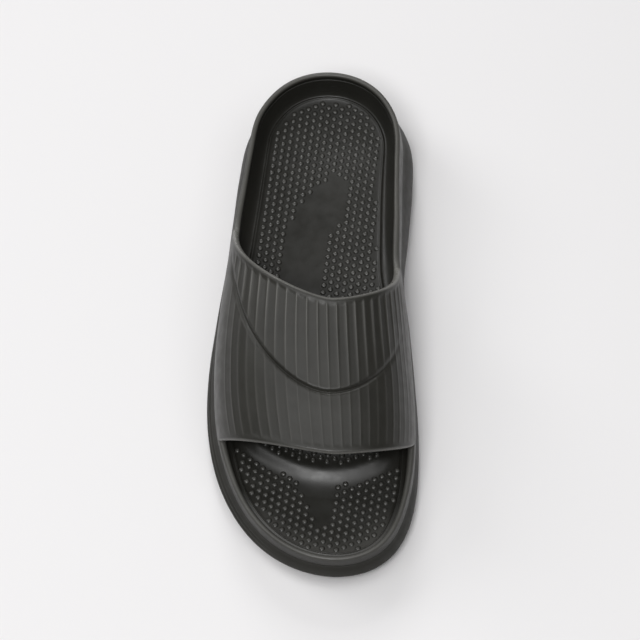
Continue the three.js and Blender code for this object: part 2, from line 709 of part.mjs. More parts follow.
// A ring on the slope between the edge and the bead: width is a share of the slope's own width.
function bedSlopeRing(width, lift) {
  return (angle) => {
    const at = shareOfAngle(angle)
    const edgeInset = bedWallInset(angle, bedEdgeZ(at) - upperBaseZ(at))
    const plan = ringPlanByWidth(angle, edgeInset, width * slopeWidth(at))
    const z = mix(bedEdgeZ(at), beadZ(angle), Math.sin((Math.min(width, 1) * Math.PI) / 2))
    return new THREE.Vector3(plan.x, plan.y, z + lift)
  }
}

// The ridge under the toes curves back towards the sides, and is steeper on the toe's side.
function ridgeAt(plan) {
  const at = shareOfY(plan.y)
  const across = (plan.x - crownX(at)) / Math.max(halfWidth(at), 1)
  const ahead = LENGTH * (at - RIDGE_PLACE + RIDGE_BOW * across ** 2)
  return TOE_RIDGE * Math.exp(-((ahead / (ahead < 0 ? RIDGE_REAR : RIDGE_FRONT)) ** 2))
}

function bedTopRing(towardSpine) {
  return (angle) => {
    const at = shareOfAngle(angle)
    const edgeInset = bedWallInset(angle, bedEdgeZ(at) - upperBaseZ(at))
    const start = ringPlanByWidth(angle, edgeInset, BED_START * slopeWidth(at))
    const plan = start.lerp(ringPlan(angle, 0, 1), towardSpine)
    const z = mix(beadZ(angle), bedMiddleZ(spineShare(angle)), 1 - (1 - towardSpine) ** 2)
    return new THREE.Vector3(plan.x, plan.y, z + ridgeAt(plan) * smooth(towardSpine, 0, 0.3))
  }
}

function insoleGeometry() {
  const rings = [
    ...[1, 0.6, 0.3].map((share) => bedUnderRing(share)),
    ...[0, 0.5, 1].map(bedSideRing),
    bedSlopeRing(0.45, 0),
    bedSlopeRing(0.85, 0),
    bedSlopeRing(BEAD_RUN, BEAD_HEIGHT),
    ...[0, 0.35, 0.7, 1].map(bedTopRing),
  ]
  return loftSkin(rings, BED_STATIONS).geometry()
}

// The three pieces, each in its own foam

const foam = (color, roughness) => new THREE.MeshStandardMaterial({ color, roughness, metalness: 0 })

function piece(name, geometry, material) {
  geometry.computeVertexNormals()
  const mesh = new THREE.Mesh(geometry, material)
  mesh.name = name
  return mesh
}

const sandal = new THREE.Group()
sandal.add(piece('sole', soleGeometry(), foam(0x3a3a38, 0.75)))
sandal.add(piece('upper', upperGeometry(), foam(0x4a4a48, 0.65)))
sandal.add(piece('insole', insoleGeometry(), foam(0x444442, 0.8)))

// The origin is the middle of the footprint on the floor.
const box = new THREE.Box3().setFromObject(sandal)
sandal.position.set(-(box.min.x + box.max.x) / 2, -(box.min.y + box.max.y) / 2, -box.min.z)

export default sandal
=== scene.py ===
"""Looks of a sport slide sandal for the right foot, moulded in charcoal foam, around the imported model.

The sole, the ribbed strap with its rim and the dotted footbed are made again here, finer than the solids that they
stand for and from the same named sizes. The classes hold lengths in millimetres, with the toe at -Y, the inner side
of the foot at +X and the floor at Z = 0. A mesh is turned into metres when it is made.
"""

from __future__ import annotations

import logging
import math
from dataclasses import dataclass, field
from enum import Enum

import bmesh
import bpy
import numpy as np
from mathutils import Matrix, Vector
from mathutils.bvhtree import BVHTree

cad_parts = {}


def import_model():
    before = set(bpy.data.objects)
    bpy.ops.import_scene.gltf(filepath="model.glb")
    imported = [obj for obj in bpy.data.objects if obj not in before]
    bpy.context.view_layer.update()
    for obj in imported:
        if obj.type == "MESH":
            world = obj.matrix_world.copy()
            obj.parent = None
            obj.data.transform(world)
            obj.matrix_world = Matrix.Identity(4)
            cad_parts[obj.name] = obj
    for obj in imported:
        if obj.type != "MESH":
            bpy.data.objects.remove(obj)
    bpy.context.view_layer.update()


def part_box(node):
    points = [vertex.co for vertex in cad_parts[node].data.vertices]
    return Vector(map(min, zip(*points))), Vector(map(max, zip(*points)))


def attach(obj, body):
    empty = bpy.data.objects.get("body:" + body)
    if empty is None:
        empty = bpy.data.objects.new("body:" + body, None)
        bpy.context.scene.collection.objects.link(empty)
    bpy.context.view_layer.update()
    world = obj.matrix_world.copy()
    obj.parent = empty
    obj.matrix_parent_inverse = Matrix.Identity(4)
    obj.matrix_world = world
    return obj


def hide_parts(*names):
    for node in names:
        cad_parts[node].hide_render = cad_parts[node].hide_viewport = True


log = logging.getLogger("sandal")

MM = 0.001
Array = np.ndarray
Table = tuple[tuple[float, ...], ...]
Range = tuple[float, float]
Source = bpy.types.NodeSocket | float | tuple[float, ...]


class Slot(Enum):
    """The record's material slots."""

    SOLE = "sole_foam"
    UPPER = "upper_foam"
    FOOTBED = "footbed_foam"


# The outline from heel (0) to toe (1): at, half width over an ellipse's as a share of half the ball width, and how
# far the middle lies to the inner side as a share of the ball width.
OUTLINE: Table = (
    (0.0, 1.5, 0.005),
    (0.05, 1.395, 0.005),
    (0.1, 1.295, 0.004),
    (0.2, 1.064, 0.001),
    (0.3, 0.936, -0.004),
    (0.4, 0.879, -0.0105),
    (0.5, 0.925, 0.002),
    (0.6, 0.998, 0.016),
    (0.7, 1.089, 0.04),
    (0.8, 1.191, 0.077),
    (0.9, 1.318, 0.128),
    (1.0, 1.5, 0.187),
)

# How far the sole's side leans in up to the seam: at, then shares of the side lean at the outer and inner side.
LEAN: Table = (
    (0.0, 0.73, 0.73),
    (0.1, 1.0, 1.0),
    (0.2, 0.95, 0.95),
    (0.3, 0.76, 0.62),
    (0.4, 0.65, 0.24),
    (0.5, 0.69, 0.18),
    (0.6, 0.8, 0.22),
    (0.7, 0.91, 0.25),
    (0.8, 0.91, 0.36),
    (0.9, 0.73, 0.55),
    (1.0, 0.55, 0.55),
)

# The underside: at, share of the toe spring, share of the arch rise.
UNDERSIDE: Table = (
    (0.0, 0.28, 0.0),
    (0.06, 0.0, 0.0),
    (0.3, 0.0, 0.0),
    (0.36, 0.0, 0.7),
    (0.42, 0.0, 1.0),
    (0.48, 0.0, 0.7),
    (0.54, 0.0, 0.0),
    (0.72, 0.0, 0.0),
    (0.8, 0.1, 0.0),
    (0.88, 0.36, 0.0),
    (0.94, 0.64, 0.0),
    (1.0, 1.0, 0.0),
)

# Heights along the foot: at, then shares of the seam height, the heel rim, the heel bed and the instep.
PROFILE: Table = (
    (0.0, 1.0, 1.0, 1.0, 1.15),
    (0.1, 1.0, 0.985, 1.0, 1.15),
    (0.2, 0.97, 0.945, 1.0, 1.14),
    (0.3, 0.91, 0.91, 0.98, 1.12),
    (0.4, 0.83, 0.9, 0.93, 1.09),
    (0.5, 0.74, 0.82, 0.85, 1.02),
    (0.6, 0.65, 0.7, 0.77, 0.94),
    (0.7, 0.57, 0.58, 0.7, 0.86),
    (0.8, 0.53, 0.51, 0.67, 0.78),
    (0.9, 0.54, 0.49, 0.64, 0.71),
    (1.0, 0.58, 0.5, 0.64, 0.66),
)

# The footbed's edge: at, share in which the strap decides its height, then shares of the edge's drop below the rim,
# its climb above the bed, the width of its slope and the dish of the bed.
BED_EDGE: Table = (
    (0.0, 0.0, 1.0, 0.86, 0.7, 1.0),
    (0.1, 0.0, 1.0, 0.86, 0.76, 1.0),
    (0.3, 0.0, 1.0, 0.86, 0.96, 0.88),
    (0.42, 1.0, 0.83, 1.0, 0.93, 0.75),
    (0.55, 1.0, 0.67, 0.79, 0.73, 0.5),
    (0.7, 1.0, 0.58, 0.37, 0.53, 0.31),
    (0.8, 0.0, 0.5, 0.29, 0.4, 0.3),
    (0.9, 0.0, 0.46, 0.29, 0.3, 0.7),
    (1.0, 0.0, 0.42, 0.29, 0.21, 0.85),
)

# The side of the sole: height as a share of the way from the bottom edge to the seam, then shares of the bevel and
# of the lean.
SIDE: Table = (
    (0.0, 1.0, 0.0),
    (0.05, 0.66, 0.0),
    (0.14, 0.32, 0.0),
    (0.28, 0.08, 0.0),
    (0.42, 0.0, 0.03),
    (0.56, 0.0, 0.15),
    (0.73, 0.0, 0.42),
    (0.95, 0.0, 0.92),
    (1.0, 0.0, 1.0),
)

# The share of the way along the rim at which a row of the strap starts: part (0 at the throat edge, 1 at the curved
# groove, 2 at the front edge) and that share.
STRAP_FEET: Table = (
    (0.0, 0.0),
    (0.07, 0.05),
    (0.16, 0.11),
    (0.4, 0.24),
    (0.7, 0.37),
    (1.0, 0.51),
    (1.35, 0.66),
    (1.65, 0.78),
    (1.88, 0.91),
    (2.0, 1.0),
)

# The bare patch of the footbed under the heel and the arch: at, and its outer and inner border in millimetres.
BARE_PATCH: Table = (
    (0.212, 1.0, 2.0),
    (0.23, -5.0, 7.8),
    (0.25, -9.6, 9.4),
    (0.28, -16.3, 9.4),
    (0.306, -18.5, 7.5),
    (0.33, -20.1, 3.0),
    (0.375, -20.5, 0.2),
    (0.425, -23.5, -1.0),
    (0.5, -22.0, -5.0),
    (0.53, -12.0, -12.0),
)

# The bare tongue in front of the toe ridge: at, and its outer and inner border in millimetres.
BARE_TONGUE: Table = (
    (0.8, -7.0, 26.0),
    (0.838, -3.5, 15.5),
    (0.876, 3.0, 15.5),
    (0.91, 8.0, 13.4),
    (0.925, 10.5, 11.0),
)


def mix(first: Array | float, second: Array | float, share: Array | float) -> Array:
    """Gives the value at a share of the way from first to second."""
    return first + (second - first) * share


def smooth(value: Array | float, low: float, high: float) -> Array:
    """Gives 0 below low, 1 above high and a soft step between them."""
    share = np.clip((value - low) / (high - low), 0, 1)
    return share * share * (3 - 2 * share)


def unit(vectors: Array) -> Array:
    """Gives the vectors with length 1."""
    return vectors / np.maximum(np.linalg.norm(vectors, axis=-1, keepdims=True), 1e-12)


class Curve:
    """A smooth curve through one column of a table, which never overshoots its rows."""

    def __init__(self, table: Table, column: int) -> None:
        """Works out the slopes at the rows.

        Args:
            table: Rows that start with their place.
            column: The column to follow.
        """
        self.places = np.array([row[0] for row in table])
        self.values = np.array([row[column] for row in table])
        steps = np.diff(self.values) / np.diff(self.places)
        product, total = steps[:-1] * steps[1:], steps[:-1] + steps[1:]
        inner = np.where(product > 0, 2 * product / np.where(product > 0, total, 1), 0)
        self.slopes = np.concatenate([steps[:1], inner, steps[-1:]])

    def __call__(self, place: Array | float) -> Array:
        """Reads the curve.

        Args:
            place: Where along the table, held within its rows.

        Returns:
            The values at those places.
        """
        place = np.asarray(place, float)
        i = np.clip(np.searchsorted(self.places, place, side="right") - 1, 0, len(self.places) - 2)
        width = self.places[i + 1] - self.places[i]
        t = np.clip((place - self.places[i]) / width, 0, 1)
        bend = t * t * (3 - 2 * t)
        swing = self.slopes[i] * t * (1 - t) ** 2 - self.slopes[i + 1] * t * t * (1 - t)
        return mix(self.values[i], self.values[i + 1], bend) + width * swing


HALF_SHARE, BOW_SHARE = Curve(OUTLINE, 1), Curve(OUTLINE, 2)
SPRING_SHARE, ARCH_SHARE = Curve(UNDERSIDE, 1), Curve(UNDERSIDE, 2)
OUTER_LEAN, INNER_LEAN = Curve(LEAN, 1), Curve(LEAN, 2)
SEAM_SHARE, RIM_SHARE = Curve(PROFILE, 1), Curve(PROFILE, 2)
BED_SHARE, CROWN_SHARE = Curve(PROFILE, 3), Curve(PROFILE, 4)
HELD, DROP_SHARE, CLIMB_SHARE = Curve(BED_EDGE, 1), Curve(BED_EDGE, 2), Curve(BED_EDGE, 3)
SLOPE_SHARE, DISH_SHARE = Curve(BED_EDGE, 4), Curve(BED_EDGE, 5)
BEVEL_SHARE, LEAN_SHARE = Curve(SIDE, 1), Curve(SIDE, 2)
FOOT_SHARE = Curve(STRAP_FEET, 1)
PATCH_OUTER, PATCH_INNER = Curve(BARE_PATCH, 1), Curve(BARE_PATCH, 2)
TONGUE_OUTER, TONGUE_INNER = Curve(BARE_TONGUE, 1), Curve(BARE_TONGUE, 2)


@dataclass(frozen=True)
class Last:
    """The form that sole, strap and footbed share.

    A station is an angle: 0 at the heel tip, a half turn at the toe, and less than that on the outer side.
    """

    length: float = 288.0
    ball_width: float = 112.0
    heel_rim: float = 46.0
    seam_height: float = 32.0
    heel_bed: float = 30.0
    instep: float = 80.0
    toe_spring: float = 7.5
    arch_rise: float = 1.8
    clearance: float = 0.3
    side_lean: float = 5.5
    strap_wall: float = 3.8
    rim_wall: float = 3.0
    heel_lean: float = 0.11
    crown_shift: float = 0.1
    arch_power: float = 2.35
    bed_thickness: float = 6.5
    spine_start: float = 0.17
    spine_end: float = 0.86
    seat_fall: float = 0.75
    strap_fade_in: Range = (0.24, 0.38)
    strap_fade_out: Range = (0.77, 0.87)

    def share(self, angle: Array) -> Array:
        """Gives the share of the length at a station."""
        return (1 - np.cos(angle)) / 2

    def angle(self, at: float) -> float:
        """Gives the station on the outer side at a share of the length."""
        return math.acos(1 - 2 * at)

    def y(self, at: Array) -> Array:
        """Gives the place along the foot of a share of the length."""
        return self.length * (0.5 - at)

    def share_of_y(self, y: Array) -> Array:
        """Gives the share of the length at a place along the foot."""
        return np.clip(0.5 - y / self.length, 0, 1)

    def middle(self, at: Array) -> Array:
        """Gives the middle of the outline across the foot."""
        return self.ball_width * BOW_SHARE(at)

    def half(self, at: Array) -> Array:
        """Gives half the outline's width."""
        return self.ball_width / 2 * HALF_SHARE(at) * np.sqrt(np.clip(4 * at * (1 - at), 0, None))

    def side(self, angle: Array) -> Array:
        """Gives the sign of X of a station's side."""
        return np.where(np.sin(angle) >= 0, -1.0, 1.0)

    def outline(self, angle: Array) -> Array:
        """Gives the outline's points in plan at the stations."""
        at = self.share(angle)
        return np.stack([self.middle(at) + self.side(angle) * self.half(at), self.y(at)], -1)

    def inward(self, angle: Array) -> Array:
        """Gives the outline's inward normals in plan.

        Args:
            angle: The stations.

        Returns:
            Vectors of length 1.
        """
        step = 0.01
        along = unit(self.outline(angle + step) - self.outline(angle - step))
        return np.stack([-along[..., 1], along[..., 0]], -1)

    def spine_share(self, angle: Array) -> Array:
        """Gives the share of the length to which a station's ring closes."""
        return np.clip(self.share(angle), self.spine_start, self.spine_end)

    def spine(self, angle: Array) -> Array:
        """Gives the points of the middle line to which the rings close."""
        at = self.spine_share(angle)
        return np.stack([self.middle(at), self.y(at)], -1)

    def ring(self, angle: Array, inset: Array | float, toward_spine: float = 0.0) -> Array:
        """Gives a ring in plan.

        Args:
            angle: The stations.
            inset: How far the ring lies inside the outline.
            toward_spine: Share of the way from there to the middle line.

        Returns:
            The ring's points in plan.
        """
        inset = np.broadcast_to(inset, np.shape(angle))
        edge = self.outline(angle) + self.inward(angle) * inset[..., None]
        return mix(edge, self.spine(angle), toward_spine)

    def ring_by_width(self, angle: Array, inset: Array, width: Array) -> Array:
        """Gives a ring in plan that lies a set width inside another one.

        Args:
            angle: The stations.
            inset: How far the other ring lies inside the outline.
            width: How far this ring lies inside that one, at most up to the middle line.

        Returns:
            The ring's points in plan.
        """
        edge, spine = self.ring(angle, inset), self.spine(angle)
        reach = np.linalg.norm(edge - spine, axis=-1)
        return mix(edge, spine, np.minimum(1, width / reach)[..., None])

    def underside_z(self, at: Array) -> Array:
        """Gives the height of the sole's underside."""
        return self.toe_spring * SPRING_SHARE(at) + self.arch_rise * ARCH_SHARE(at)

    def seam_z(self, at: Array) -> Array:
        """Gives the height of the seam between sole and upper."""
        return self.seam_height * SEAM_SHARE(at)

    def rim_z(self, at: Array) -> Array:
        """Gives the height of the upper's rim."""
        return self.heel_rim * RIM_SHARE(at)

    def upper_base_z(self, at: Array) -> Array:
        """Gives the height at which the upper starts."""
        return self.seam_z(at) + self.clearance

    def bed_middle_z(self, at: Array) -> Array:
        """Gives the height of the footbed's middle line."""
        return self.heel_bed * BED_SHARE(at)

    def seat_z(self, angle: Array, edge: Array, share: float) -> Array:
        """Gives the height of the seat that the footbed lies in.

        Args:
            angle: The stations.
            edge: The seat's height at its edge.
            share: Share of the way from the edge to the middle line.

        Returns:
            The heights.
        """
        middle = self.bed_middle_z(self.spine_share(angle)) - self.bed_thickness
        return mix(edge, middle, smooth(share, 0, self.seat_fall))

    def seam_inset(self, at: Array, side: Array) -> Array:
        """Gives how far inside the outline the seam lies, where the upper stands flush on the sole."""
        return self.side_lean * np.where(side < 0, OUTER_LEAN(at), INNER_LEAN(at))

    def crown_x(self, at: Array) -> Array:
        """Gives the place of the strap's crown across the foot."""
        return self.middle(at) + self.crown_shift * self.half(at)

    def arch_span(self, at: Array, side: Array) -> Array:
        """Gives the strap's reach from its crown to its base on one side."""
        base = self.middle(at) + side * (self.half(at) - self.seam_inset(at, side))
        return np.abs(self.crown_x(at) - base)

    def arch_height(self, at: Array) -> Array:
        """Gives the strap's height above its base."""
        return self.instep * CROWN_SHARE(at) - self.upper_base_z(at)

    def angle_of_rise(self, rise: Array) -> Array:
        """Gives the angle on the strap's arch for a share of its height."""
        return np.arcsin(np.clip(rise, 0, 1) ** (self.arch_power / 2))

    def arch_share_of_wall(self, at: Array) -> Array:
        """Gives the share of the arch in the wall: all beside the strap, none behind the heel and at the toe."""
        return smooth(at, *self.strap_fade_in) * (1 - smooth(at, *self.strap_fade_out))

    def wall_thickness(self, at: Array) -> Array:
        """Gives the upper's thickness."""
        return mix(self.rim_wall, self.strap_wall, self.arch_share_of_wall(at))

    def wall_inset(self, at: Array, side: Array, height: Array) -> Array:
        """Gives how far inside the outline the upper's outer face lies.

        Args:
            at: Share of the length.
            side: Sign of X of the side.
            height: Height above the upper's base.

        Returns:
            The insets.
        """
        rise = np.clip(height / self.arch_height(at), 0, 1)
        power = self.arch_power
        curved = self.arch_span(at, side) * (1 - (1 - rise**power) ** (1 / power))
        leaning = mix(self.heel_lean * height, curved, self.arch_share_of_wall(at))
        return self.seam_inset(at, side) + leaning


LAST = Last()


class Patchwork:
    """Grids of points with a painted highlight value each, sewn into one closed mesh."""

    WELD = 2e-6

    def __init__(self) -> None:
        """Starts empty."""
        self.points: list[Array] = []
        self.painted_highlight: list[Array] = []
        self.faces: list[Array] = []
        self.count = 0

    def grid(self, rows: Array, painted_highlight: Array | float = 0.0) -> None:
        """Adds a grid of four-sided faces.

        Args:
            rows: Points as rows, columns and three coordinates.
            painted_highlight: How much painted highlight each point gets, from 0 to 1: a lighter tone in place of the
                light it catches.
        """
        across, along = rows.shape[:2]
        first = np.arange(across - 1)[:, None] * along + np.arange(along - 1) + self.count
        self.faces.append(np.stack([first, first + 1, first + along + 1, first + along], -1).reshape(-1, 4))
        self.points.append(rows.reshape(-1, 3))
        self.painted_highlight.append(np.broadcast_to(painted_highlight, rows.shape[:2]).reshape(-1))
        self.count += across * along

    def sew(self, name: str, shift: float) -> bpy.types.Object:
        """Makes the mesh object, with points that coincide joined and faces looking out.

        Args:
            name: The object's name.
            shift: How far the form lies towards +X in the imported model.

        Returns:
            The new object.
        """
        points = (np.concatenate(self.points) + (shift, 0, 0)) * MM
        mesh = bpy.data.meshes.new(name)
        mesh.from_pydata(points.tolist(), [], np.concatenate(self.faces).tolist())
        mesh.attributes.new("painted_highlight", "FLOAT", "POINT").data.foreach_set("value", np.concatenate(self.painted_highlight))
        work = bmesh.new()
        work.from_mesh(mesh)
        bmesh.ops.remove_doubles(work, verts=work.verts, dist=self.WELD)
        bmesh.ops.dissolve_degenerate(work, edges=work.edges, dist=self.WELD / 2)
        bmesh.ops.recalc_face_normals(work, faces=work.faces)
        work.to_mesh(mesh)
        work.free()
        mesh.shade_smooth()
        made = bpy.data.objects.new(name, mesh)
        bpy.context.scene.collection.objects.link(made)
        return made


@dataclass(frozen=True)
class Foam:
    """A moulded foam finish: charcoal with a soft gloss and a fine grain, and painted highlights, lighter and
    smoother, where a point's attribute asks for them.

    Sizes and depths are in millimetres. Mottle is how much the tone varies.
    """

    name: str
    tone: tuple[float, float, float]
    # The tone of the painted highlight.
    highlight_tone: tuple[float, float, float]
    roughness: float
    gloss: float
    grain_depth: float
    grain_size: float = 0.45
    mottle: float = 0.12
    # How much the roughness drops under the painted highlight.
    highlight_polish: float = 0.16

    def make(self) -> bpy.types.Material:
        """Builds the node material.

        Returns:
            The material.
        """
        material = bpy.data.materials.new(self.name)
        material.use_nodes = True
        nodes, links = material.node_tree.nodes, material.node_tree.links
        shader = nodes["Principled BSDF"]
        place = nodes.new("ShaderNodeTexCoord").outputs["Object"]

        def noise(size_mm: float, detail: float, roughness: float = 0.5) -> bpy.types.NodeSocket:
            """Adds a noise texture.

            Args:
                size_mm: About how wide its features are.
                detail: How many finer layers it has.
                roughness: How strong those are.

            Returns:
                The noise, mostly from 0.3 to 0.7.
            """
            node = nodes.new("ShaderNodeTexNoise")
            node.inputs["Scale"].default_value = 1 / (size_mm * MM)
            node.inputs["Detail"].default_value = detail
            node.inputs["Roughness"].default_value = roughness
            links.new(place, node.inputs["Vector"])
            return node.outputs["Fac"]

        def ranged(source: bpy.types.NodeSocket, low: float, high: float) -> bpy.types.NodeSocket:
            """Maps the middle of a noise to a range.

            Args:
                source: The noise.
                low: The value for its low places.
                high: The value for its high places.

            Returns:
                The mapped noise.
            """
            node = nodes.new("ShaderNodeMapRange")
            node.inputs["From Min"].default_value = 0.3
            node.inputs["From Max"].default_value = 0.7
            node.inputs["To Min"].default_value = low
            node.inputs["To Max"].default_value = high
            links.new(source, node.inputs["Value"])
            return node.outputs["Result"]

        def blend(kind: str, share: Source, first: Source, second: Source) -> bpy.types.NodeSocket:
            """Adds a colour mix.

            Args:
                kind: How the two are mixed.
                share: How much of the second goes in.
                first: The first colour.
                second: The second colour.

            Returns:
                The mixed colour.
            """
            node = nodes.new("ShaderNodeMix")
            node.data_type, node.blend_type = "RGBA", kind
            for name, value in (("Factor", share), ("A", first), ("B", second)):
                if isinstance(value, bpy.types.NodeSocket):
                    links.new(value, node.inputs[name])
                else:
                    node.inputs[name].default_value = value
            return node.outputs["Result"]

        # Painted highlight: the point attribute mixes in the lighter highlight tone and lowers the roughness.
        painted_highlight = nodes.new("ShaderNodeAttribute")
        painted_highlight.attribute_name = "painted_highlight"
        colour = blend("MIX", painted_highlight.outputs["Fac"], (*self.tone, 1), (*self.highlight_tone, 1))
        shade = nodes.new("ShaderNodeCombineColor")
        cloud = ranged(noise(22, 3), 1 - self.mottle, 1 + self.mottle)
        for channel in ("Red", "Green", "Blue"):
            links.new(cloud, shade.inputs[channel])
        links.new(blend("MULTIPLY", 1.0, colour, shade.outputs["Color"]), shader.inputs["Base Color"])

        polish = nodes.new("ShaderNodeMath")
        polish.operation = "MULTIPLY_ADD"
        polish.inputs[1].default_value = -self.highlight_polish
        links.new(painted_highlight.outputs["Fac"], polish.inputs[0])
        links.new(ranged(noise(6, 4), self.roughness - 0.05, self.roughness + 0.06), polish.inputs[2])
        links.new(polish.outputs["Value"], shader.inputs["Roughness"])
        shader.inputs["Specular IOR Level"].default_value = self.gloss
        last = None
        waves = (9.0, 2, self.grain_depth * 1.6)
        pebbles = (self.grain_size * 3.2, 3, self.grain_depth * 0.7)
        grain = (self.grain_size, 2, self.grain_depth * 0.5)
        for size, detail, depth in (waves, pebbles, grain):
            bump = nodes.new("ShaderNodeBump")
            bump.inputs["Strength"].default_value = 1
            bump.inputs["Distance"].default_value = depth * MM
            links.new(noise(size, detail), bump.inputs["Height"])
            if last is not None:
                links.new(last, bump.inputs["Normal"])
            last = bump.outputs["Normal"]
        links.new(last, shader.inputs["Normal"])
        return material


# Each finish's second tone is its painted highlight tone.
SOLE_FOAM = Foam("moulded_sole_foam", (0.021, 0.0203, 0.0168), (0.036, 0.035, 0.031), 0.55, 0.3, 0.03)
UPPER_FOAM = Foam("moulded_upper_foam", (0.0197, 0.019, 0.0153), (0.17, 0.167, 0.155), 0.42, 0.42, 0.016)
BED_FOAM = Foam("moulded_footbed_foam", (0.0145, 0.014, 0.0114), (0.075, 0.0735, 0.068), 0.36, 0.43, 0.014)


def dress(piece: bpy.types.Object, finish: Foam, slot: Slot, *nodes: str) -> None:
    """Gives a piece its finish, hangs it from the root and hides the CAD nodes that it replaces.

    Args:
        piece: The new object.
        finish: The finish of its whole surface.
        slot: The record's slot; not used.
        nodes: The CAD nodes that it replaces.
    """
    piece.data.materials.append(bpy.data.materials.get(finish.name) or finish.make())
    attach(piece, "root")
    if nodes:
        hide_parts(*nodes)
    piece.data.calc_loop_triangles()
    log.info("%s: %d triangles", piece.name, len(piece.data.loop_triangles))


def lifted(plan: Array, z: Array) -> Array:
    """Gives points in space from points in plan and their heights."""
    return np.concatenate([plan, np.broadcast_to(z, plan.shape[:-1])[..., None]], -1)


def inside(x: Array, y: Array, loop: Array) -> Array:
    """Says which places lie inside a closed loop in plan.

    Args:
        x: Places across the foot.
        y: Places along the foot.
        loop: The loop's points, of which the last is the first.

    Returns:
        True where a place lies inside.
    """
    x0, y0 = loop[:-1, 0], loop[:-1, 1]
    x1, y1 = loop[1:, 0], loop[1:, 1]
    spans = (y0[None, :] > y[:, None]) != (y1[None, :] > y[:, None])
    rise = np.where(y1 == y0, 1, y1 - y0)
    meets = x0 + (y[:, None] - y0) / rise * (x1 - x0)
    return np.sum(spans & (x[:, None] < meets), axis=1) % 2 == 1


@dataclass
class Sole:
    """The moulded sole: a rounded bottom edge, a leaning side with two fine lines, a seat and a tread."""

    shift: float
    stations: int = 400
    side_bevel: float = 6.0
    edge_round: float = 0.5
    line_depth: float = 0.7
    line_half: float = 0.45
    lines: tuple[float, ...] = (0.56, 0.73)
    lines_fade_in: Range = (0.44, 0.6)
    lines_fade_out: Range = (0.9, 0.98)
    groove_pitch: float = 13.0
    groove_width: float = 3.2
    groove_depth: float = 2.6
    groove_draft: float = 0.7
    groove_wave: float = 2.6
    groove_wavelength: float = 30.0
    border: float = 9.0
    side_rows: int = 64
    side_crowding: float = 1.15
    edge_steps: int = 4
    seat_shares: tuple[float, ...] = (0.08, 0.15, 0.3, 0.45, 0.6, 0.8, 1)
    underside_shares: tuple[float, ...] = (1, 0.8, 0.6, 0.45, 0.3, 0.2, 0.12, 0.05)
    crease_degrees: float = 38.0

    def side_rings(self, angle: Array) -> list[Array]:
        """Gives the rings of the side, whose rows crowd towards the bottom edge.

        Args:
            angle: The stations.

        Returns:
            Rings of points, from the bottom edge to the rounded edge at the seam.
        """
        at, side = LAST.share(angle), LAST.side(angle)
        low, high = LAST.underside_z(at), LAST.seam_z(at)
        top = high - self.edge_round
        fade = smooth(at, *self.lines_fade_in) * (1 - smooth(at, *self.lines_fade_out)) * (side < 0)
        rings = []
        for rise in np.linspace(0, 1, self.side_rows) ** self.side_crowding:
            inset = self.side_bevel * BEVEL_SHARE(rise) + LAST.seam_inset(at, side) * LEAN_SHARE(rise)
            for line in self.lines:
                away = (rise - line) * (high - low) / self.line_half
                inset = inset + self.line_depth * fade * np.exp(-(away**2))
            rings.append(lifted(LAST.ring(angle, inset), mix(low, top, rise)))
        return rings

    def seat_rings(self, angle: Array) -> list[Array]:
        """Gives the rings over the rounded edge and of the seat under upper and footbed.

        Args:
            angle: The stations.

        Returns:
            Rings of points, from the edge to the middle line.
        """
        at, side = LAST.share(angle), LAST.side(angle)
        inset, edge, radius = LAST.seam_inset(at, side), LAST.seam_z(at), self.edge_round
        rings = []
        for turn in np.linspace(0, math.pi / 2, self.edge_steps + 1)[1:]:
            plan = LAST.ring(angle, inset + radius * (1 - math.cos(turn)))
            rings.append(lifted(plan, edge - radius * (1 - math.sin(turn))))
        for share in self.seat_shares:
            rings.append(lifted(LAST.ring(angle, inset + radius, share), LAST.seat_z(angle, edge, share)))
        return rings

    def underside_rings(self, angle: Array) -> list[Array]:
        """Gives the rings of the underside.

        Args:
            angle: The stations.

        Returns:
            Rings of points, from the middle line out.
        """
        rings = []
        for share in self.underside_shares:
            plan = LAST.ring(angle, self.side_bevel, share)
            rings.append(lifted(plan, LAST.underside_z(LAST.share_of_y(plan[..., 1]))))
        return rings

    def tread_grooves(self) -> bpy.types.Object:
        """Makes the zigzag grooves that are cut from the underside.

        Returns:
            One mesh with all the grooves.
        """
        cut = Patchwork()
        run = LAST.length - 2 * self.border - self.groove_pitch
        count = int(run // self.groove_pitch)
        half = self.groove_width / 2
        narrow = half * self.groove_draft
        for i in range(count):
            y = (i - (count - 1) / 2) * self.groove_pitch
            at = LAST.share_of_y(np.array(y))
            reach = float(LAST.half(at)) - self.border
            steps = 2 * round(2 * reach / self.groove_wavelength) - 1
            roof = float(LAST.underside_z(at)) + self.groove_depth
            floor = roof - 2 * self.groove_depth
            section = ((half, floor), (narrow, roof), (-narrow, roof), (-half, floor))
            rows = []
            for j in range(steps + 1):
                x = float(LAST.middle(at)) + mix(-reach, reach, j / steps)
                wave = y + self.groove_wave * (1 if j % 2 else -1)
                rows.append([(x, wave + offset, z) for offset, z in (*section, section[0])])
            cut.grid(np.array(rows))
            for end in (rows[0], rows[-1]):
                cut.grid(np.array([[end[0], end[1]], [end[3], end[2]]]))
        return cut.sew("tread_cutter", self.shift)

    def build(self) -> bpy.types.Object:
        """Builds the sole with its tread.

        Returns:
            The new object.
        """
        angle = np.linspace(0, 2 * math.pi, self.stations + 1)
        angle[-1] = 0
        rings = [*self.underside_rings(angle), *self.side_rings(angle), *self.seat_rings(angle)]
        skin = Patchwork()
        skin.grid(np.array(rings))
        sole = skin.sew("sole_shell", self.shift)
        cutter = self.tread_grooves()
        cut = sole.modifiers.new("tread", "BOOLEAN")
        cut.operation, cut.solver, cut.object = "DIFFERENCE", "EXACT", cutter
        evaluated = sole.evaluated_get(bpy.context.evaluated_depsgraph_get())
        carved = bpy.data.meshes.new_from_object(evaluated)
        sole.modifiers.clear()
        sole.data = carved
        bpy.data.objects.remove(cutter)
        carved.shade_smooth()
        carved.set_sharp_from_angle(angle=math.radians(self.crease_degrees))
        dress(sole, SOLE_FOAM, Slot.SOLE, "sole")
        return sole


